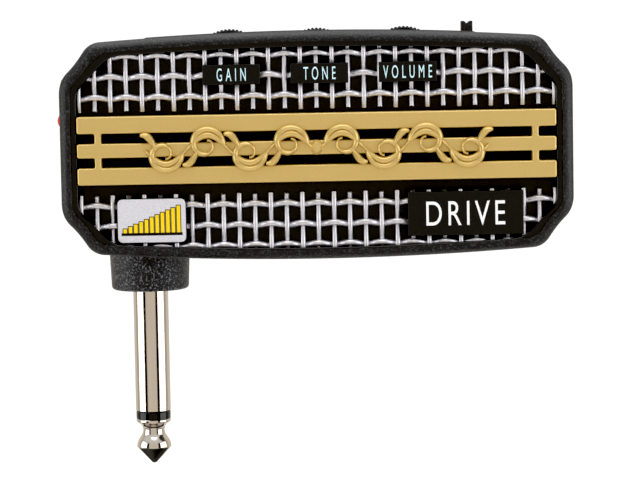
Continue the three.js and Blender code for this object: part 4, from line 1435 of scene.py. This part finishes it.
def make_camera():
    camera = bpy.data.cameras.new("camera")
    camera.lens = CAMERA_LENS
    camera.sensor_width = 36
    eye = add_object("camera", camera)
    rise = math.radians(CAMERA_ELEVATION)
    back = Vector((0, -math.cos(rise), math.sin(rise)))
    eye.location = LOOK_AT + back * CAMERA_DISTANCE
    eye.rotation_mode = "QUATERNION"
    roll = Matrix.Rotation(math.radians(-CAMERA_ROLL), 4, "Z").to_quaternion()
    eye.rotation_quaternion = (-back).to_track_quat("-Z", "Y") @ roll
    bpy.context.scene.camera = eye


def level_square(name, half, drop):
    """A level square below the plug's tip."""
    height = cad_box[0].z / MM - drop
    return make_piece(name, [(-half, -half, height), (half, -half, height),
                             (half, half, height), (-half, half, height)], [(0, 1, 2, 3)])


def make_floor():
    """Wide pale floor, well below the plug's tip."""
    floor = level_square("floor", 4500, FLOOR_DROP)
    floor.data.materials.append(matt_paper("matt_white_paper"))
    floor.visible_glossy = False


def make_flag():
    """Black flag under the plug that only reflections see, so its bright cone has a shape."""
    flag = level_square("flag", 20, FLAG_DROP)
    flag.data.materials.append(finish("plate"))
    for ray in ("camera", "diffuse", "transmission", "volume_scatter", "shadow"):
        setattr(flag, f"visible_{ray}", False)


def make_sky():
    """The room as the metals see it: a dim wall in front, dark gaps beside it, light behind."""
    world = bpy.data.worlds.new("studio")
    bpy.context.scene.world = world
    world.use_nodes = True
    tree = world.node_tree
    tree.nodes.clear()
    place = add_node(tree, "ShaderNodeTexCoord")
    split = add_node(tree, "ShaderNodeSeparateXYZ", {}, {"Vector": (place, "Generated")})
    kind = "ShaderNodeMath"
    across = add_node(tree, kind, {"operation": "ABSOLUTE"}, {0: (split, "X")})
    back = add_node(tree, kind, {"operation": "MULTIPLY", 1: -1.0}, {0: (split, "Y")})
    turn = add_node(tree, kind, {"operation": "ARCTAN2"},
                    {0: (across, "Value"), 1: (back, "Value")})
    share = add_node(tree, kind, {"operation": "DIVIDE", 1: math.pi}, {0: (turn, "Value")})
    tall = add_node(tree, kind, {"operation": "ABSOLUTE"}, {0: (split, "Z")})
    wall, gap, light = linear("#dcd4c8"), linear("#1e1916"), linear("#dcd7cf")
    side = linear("#bdb3a5")
    room = add_node(tree, "ShaderNodeValToRGB", {"stops": [
        (0.0, wall), (0.172, wall), (0.185, gap), (0.53, gap), (0.54, side), (0.64, side),
        (0.66, light), (1.0, light)]}, {"Fac": (share, "Value")})
    heights = add_node(tree, "ShaderNodeValToRGB", {"stops": [
        (0.0, linear("#f4f0ea")), (0.5, linear("#dcdcdc"))]}, {"Fac": (split, "Z")})
    level = add_node(tree, "ShaderNodeMapRange",
                     {"From Min": 0.45, "From Max": 0.6, "To Min": 0.0, "To Max": 1.0},
                     {"Value": (tall, "Value")})
    around = add_node(tree, "ShaderNodeMix", {"data_type": "RGBA"}, {
        0: (level, "Result"), 6: (room, "Color"), 7: (heights, "Color")})
    metals = add_node(tree, "ShaderNodeBackground", {"Strength": 1.0}, {"Color": (around, 2)})
    white = linear("#ffffff")
    sky = add_node(tree, "ShaderNodeBackground", {"Strength": 0.55, "Color": white})
    seen = add_node(tree, "ShaderNodeBackground", {"Strength": 1.05, "Color": white})
    path = add_node(tree, "ShaderNodeLightPath")
    shiny = add_node(tree, "ShaderNodeMixShader", {}, {
        0: (path, "Is Glossy Ray"), 1: (sky, "Background"), 2: (metals, "Background")})
    mix = add_node(tree, "ShaderNodeMixShader", {}, {
        0: (path, "Is Camera Ray"), 1: (shiny, "Shader"), 2: (seen, "Background")})
    add_node(tree, "ShaderNodeOutputWorld", {}, {"Surface": (mix, "Shader")})


def make_softbox(name, bearing, width, height, radiance):
    """A tall soft lamp, a bearing in degrees from the front, that gives a set radiance."""
    turn = math.radians(bearing)
    spot = Vector((math.sin(turn) * LAMP_DISTANCE, -math.cos(turn) * LAMP_DISTANCE,
                   LAMP_HEIGHT)) * MM
    lamp = bpy.data.lights.new(name, "AREA")
    lamp.shape = "RECTANGLE"
    lamp.size, lamp.size_y = width * MM, height * MM
    lamp.energy = radiance * 4 * width * height * MM * MM
    holder = add_object(name, lamp)
    holder.location = spot
    holder.rotation_mode = "QUATERNION"
    holder.rotation_quaternion = (LAMP_AIM - spot).to_track_quat("-Z", "Y")


def make_overhead(power):
    """A very soft lamp straight overhead, which also whitens the floor."""
    lamp = bpy.data.lights.new("overhead", "SUN")
    lamp.angle = math.radians(70)
    lamp.energy = power
    add_object("overhead", lamp)


class AMP_OT_stage(bpy.types.Operator):
    """Sets the camera, the floor, the lamps and the surroundings"""

    bl_idname = "amp.stage"
    bl_label = "Stage"

    def execute(self, context):
        view = context.scene.view_settings
        view.view_transform = "Standard"
        view.use_curve_mapping = True
        view.curve_mapping.black_level = (BLACK_LEVEL,) * 3
        view.curve_mapping.update()
        make_camera()
        make_floor()
        make_flag()
        make_sky()
        for name, side in (("left", -1), ("right", 1)):
            make_softbox(name, side * LAMP_BEARING, *LAMP_SIZE, LAMP_RADIANCE)
        make_overhead(OVERHEAD_POWER)
        return {"FINISHED"}


# ------------------------------------------------------------------ sidebar and main

PIECE_OPERATORS = (AMP_OT_case, AMP_OT_grille, AMP_OT_panel, AMP_OT_labels, AMP_OT_controls,
                   AMP_OT_plug, AMP_OT_sockets, AMP_OT_inside)


class AMP_PT_sidebar(bpy.types.Panel):
    """Lists the pieces of the amplifier in the 3D view's sidebar"""

    bl_label = "Amplifier"
    bl_idname = "AMP_PT_sidebar"
    bl_space_type = "VIEW_3D"
    bl_region_type = "UI"
    bl_category = "Amplifier"

    def draw(self, context):
        for operator in (AMP_OT_stage, *PIECE_OPERATORS):
            self.layout.operator(operator.bl_idname)
        for group in (context.scene.amp_sizes, context.scene.amp_colours):
            for name in group.__annotations__:
                self.layout.prop(group, name)


CLASSES = (AmpSizes, AmpColours, AMP_OT_stage, *PIECE_OPERATORS, AMP_PT_sidebar)


def register():
    for kind in CLASSES:
        bpy.utils.register_class(kind)
    bpy.types.Scene.amp_sizes = bpy.props.PointerProperty(type=AmpSizes)
    bpy.types.Scene.amp_colours = bpy.props.PointerProperty(type=AmpColours)


def unregister():
    del bpy.types.Scene.amp_colours
    del bpy.types.Scene.amp_sizes
    for kind in reversed(CLASSES):
        bpy.utils.unregister_class(kind)


def main():
    register()
    bpy.ops.amp.stage()
    bpy.ops.amp.case()
    bpy.ops.amp.grille()
    bpy.ops.amp.panel()
    bpy.ops.amp.labels()
    bpy.ops.amp.controls()
    bpy.ops.amp.plug()
    bpy.ops.amp.sockets()
    bpy.ops.amp.inside()


if __name__ == "__main__":
    main()
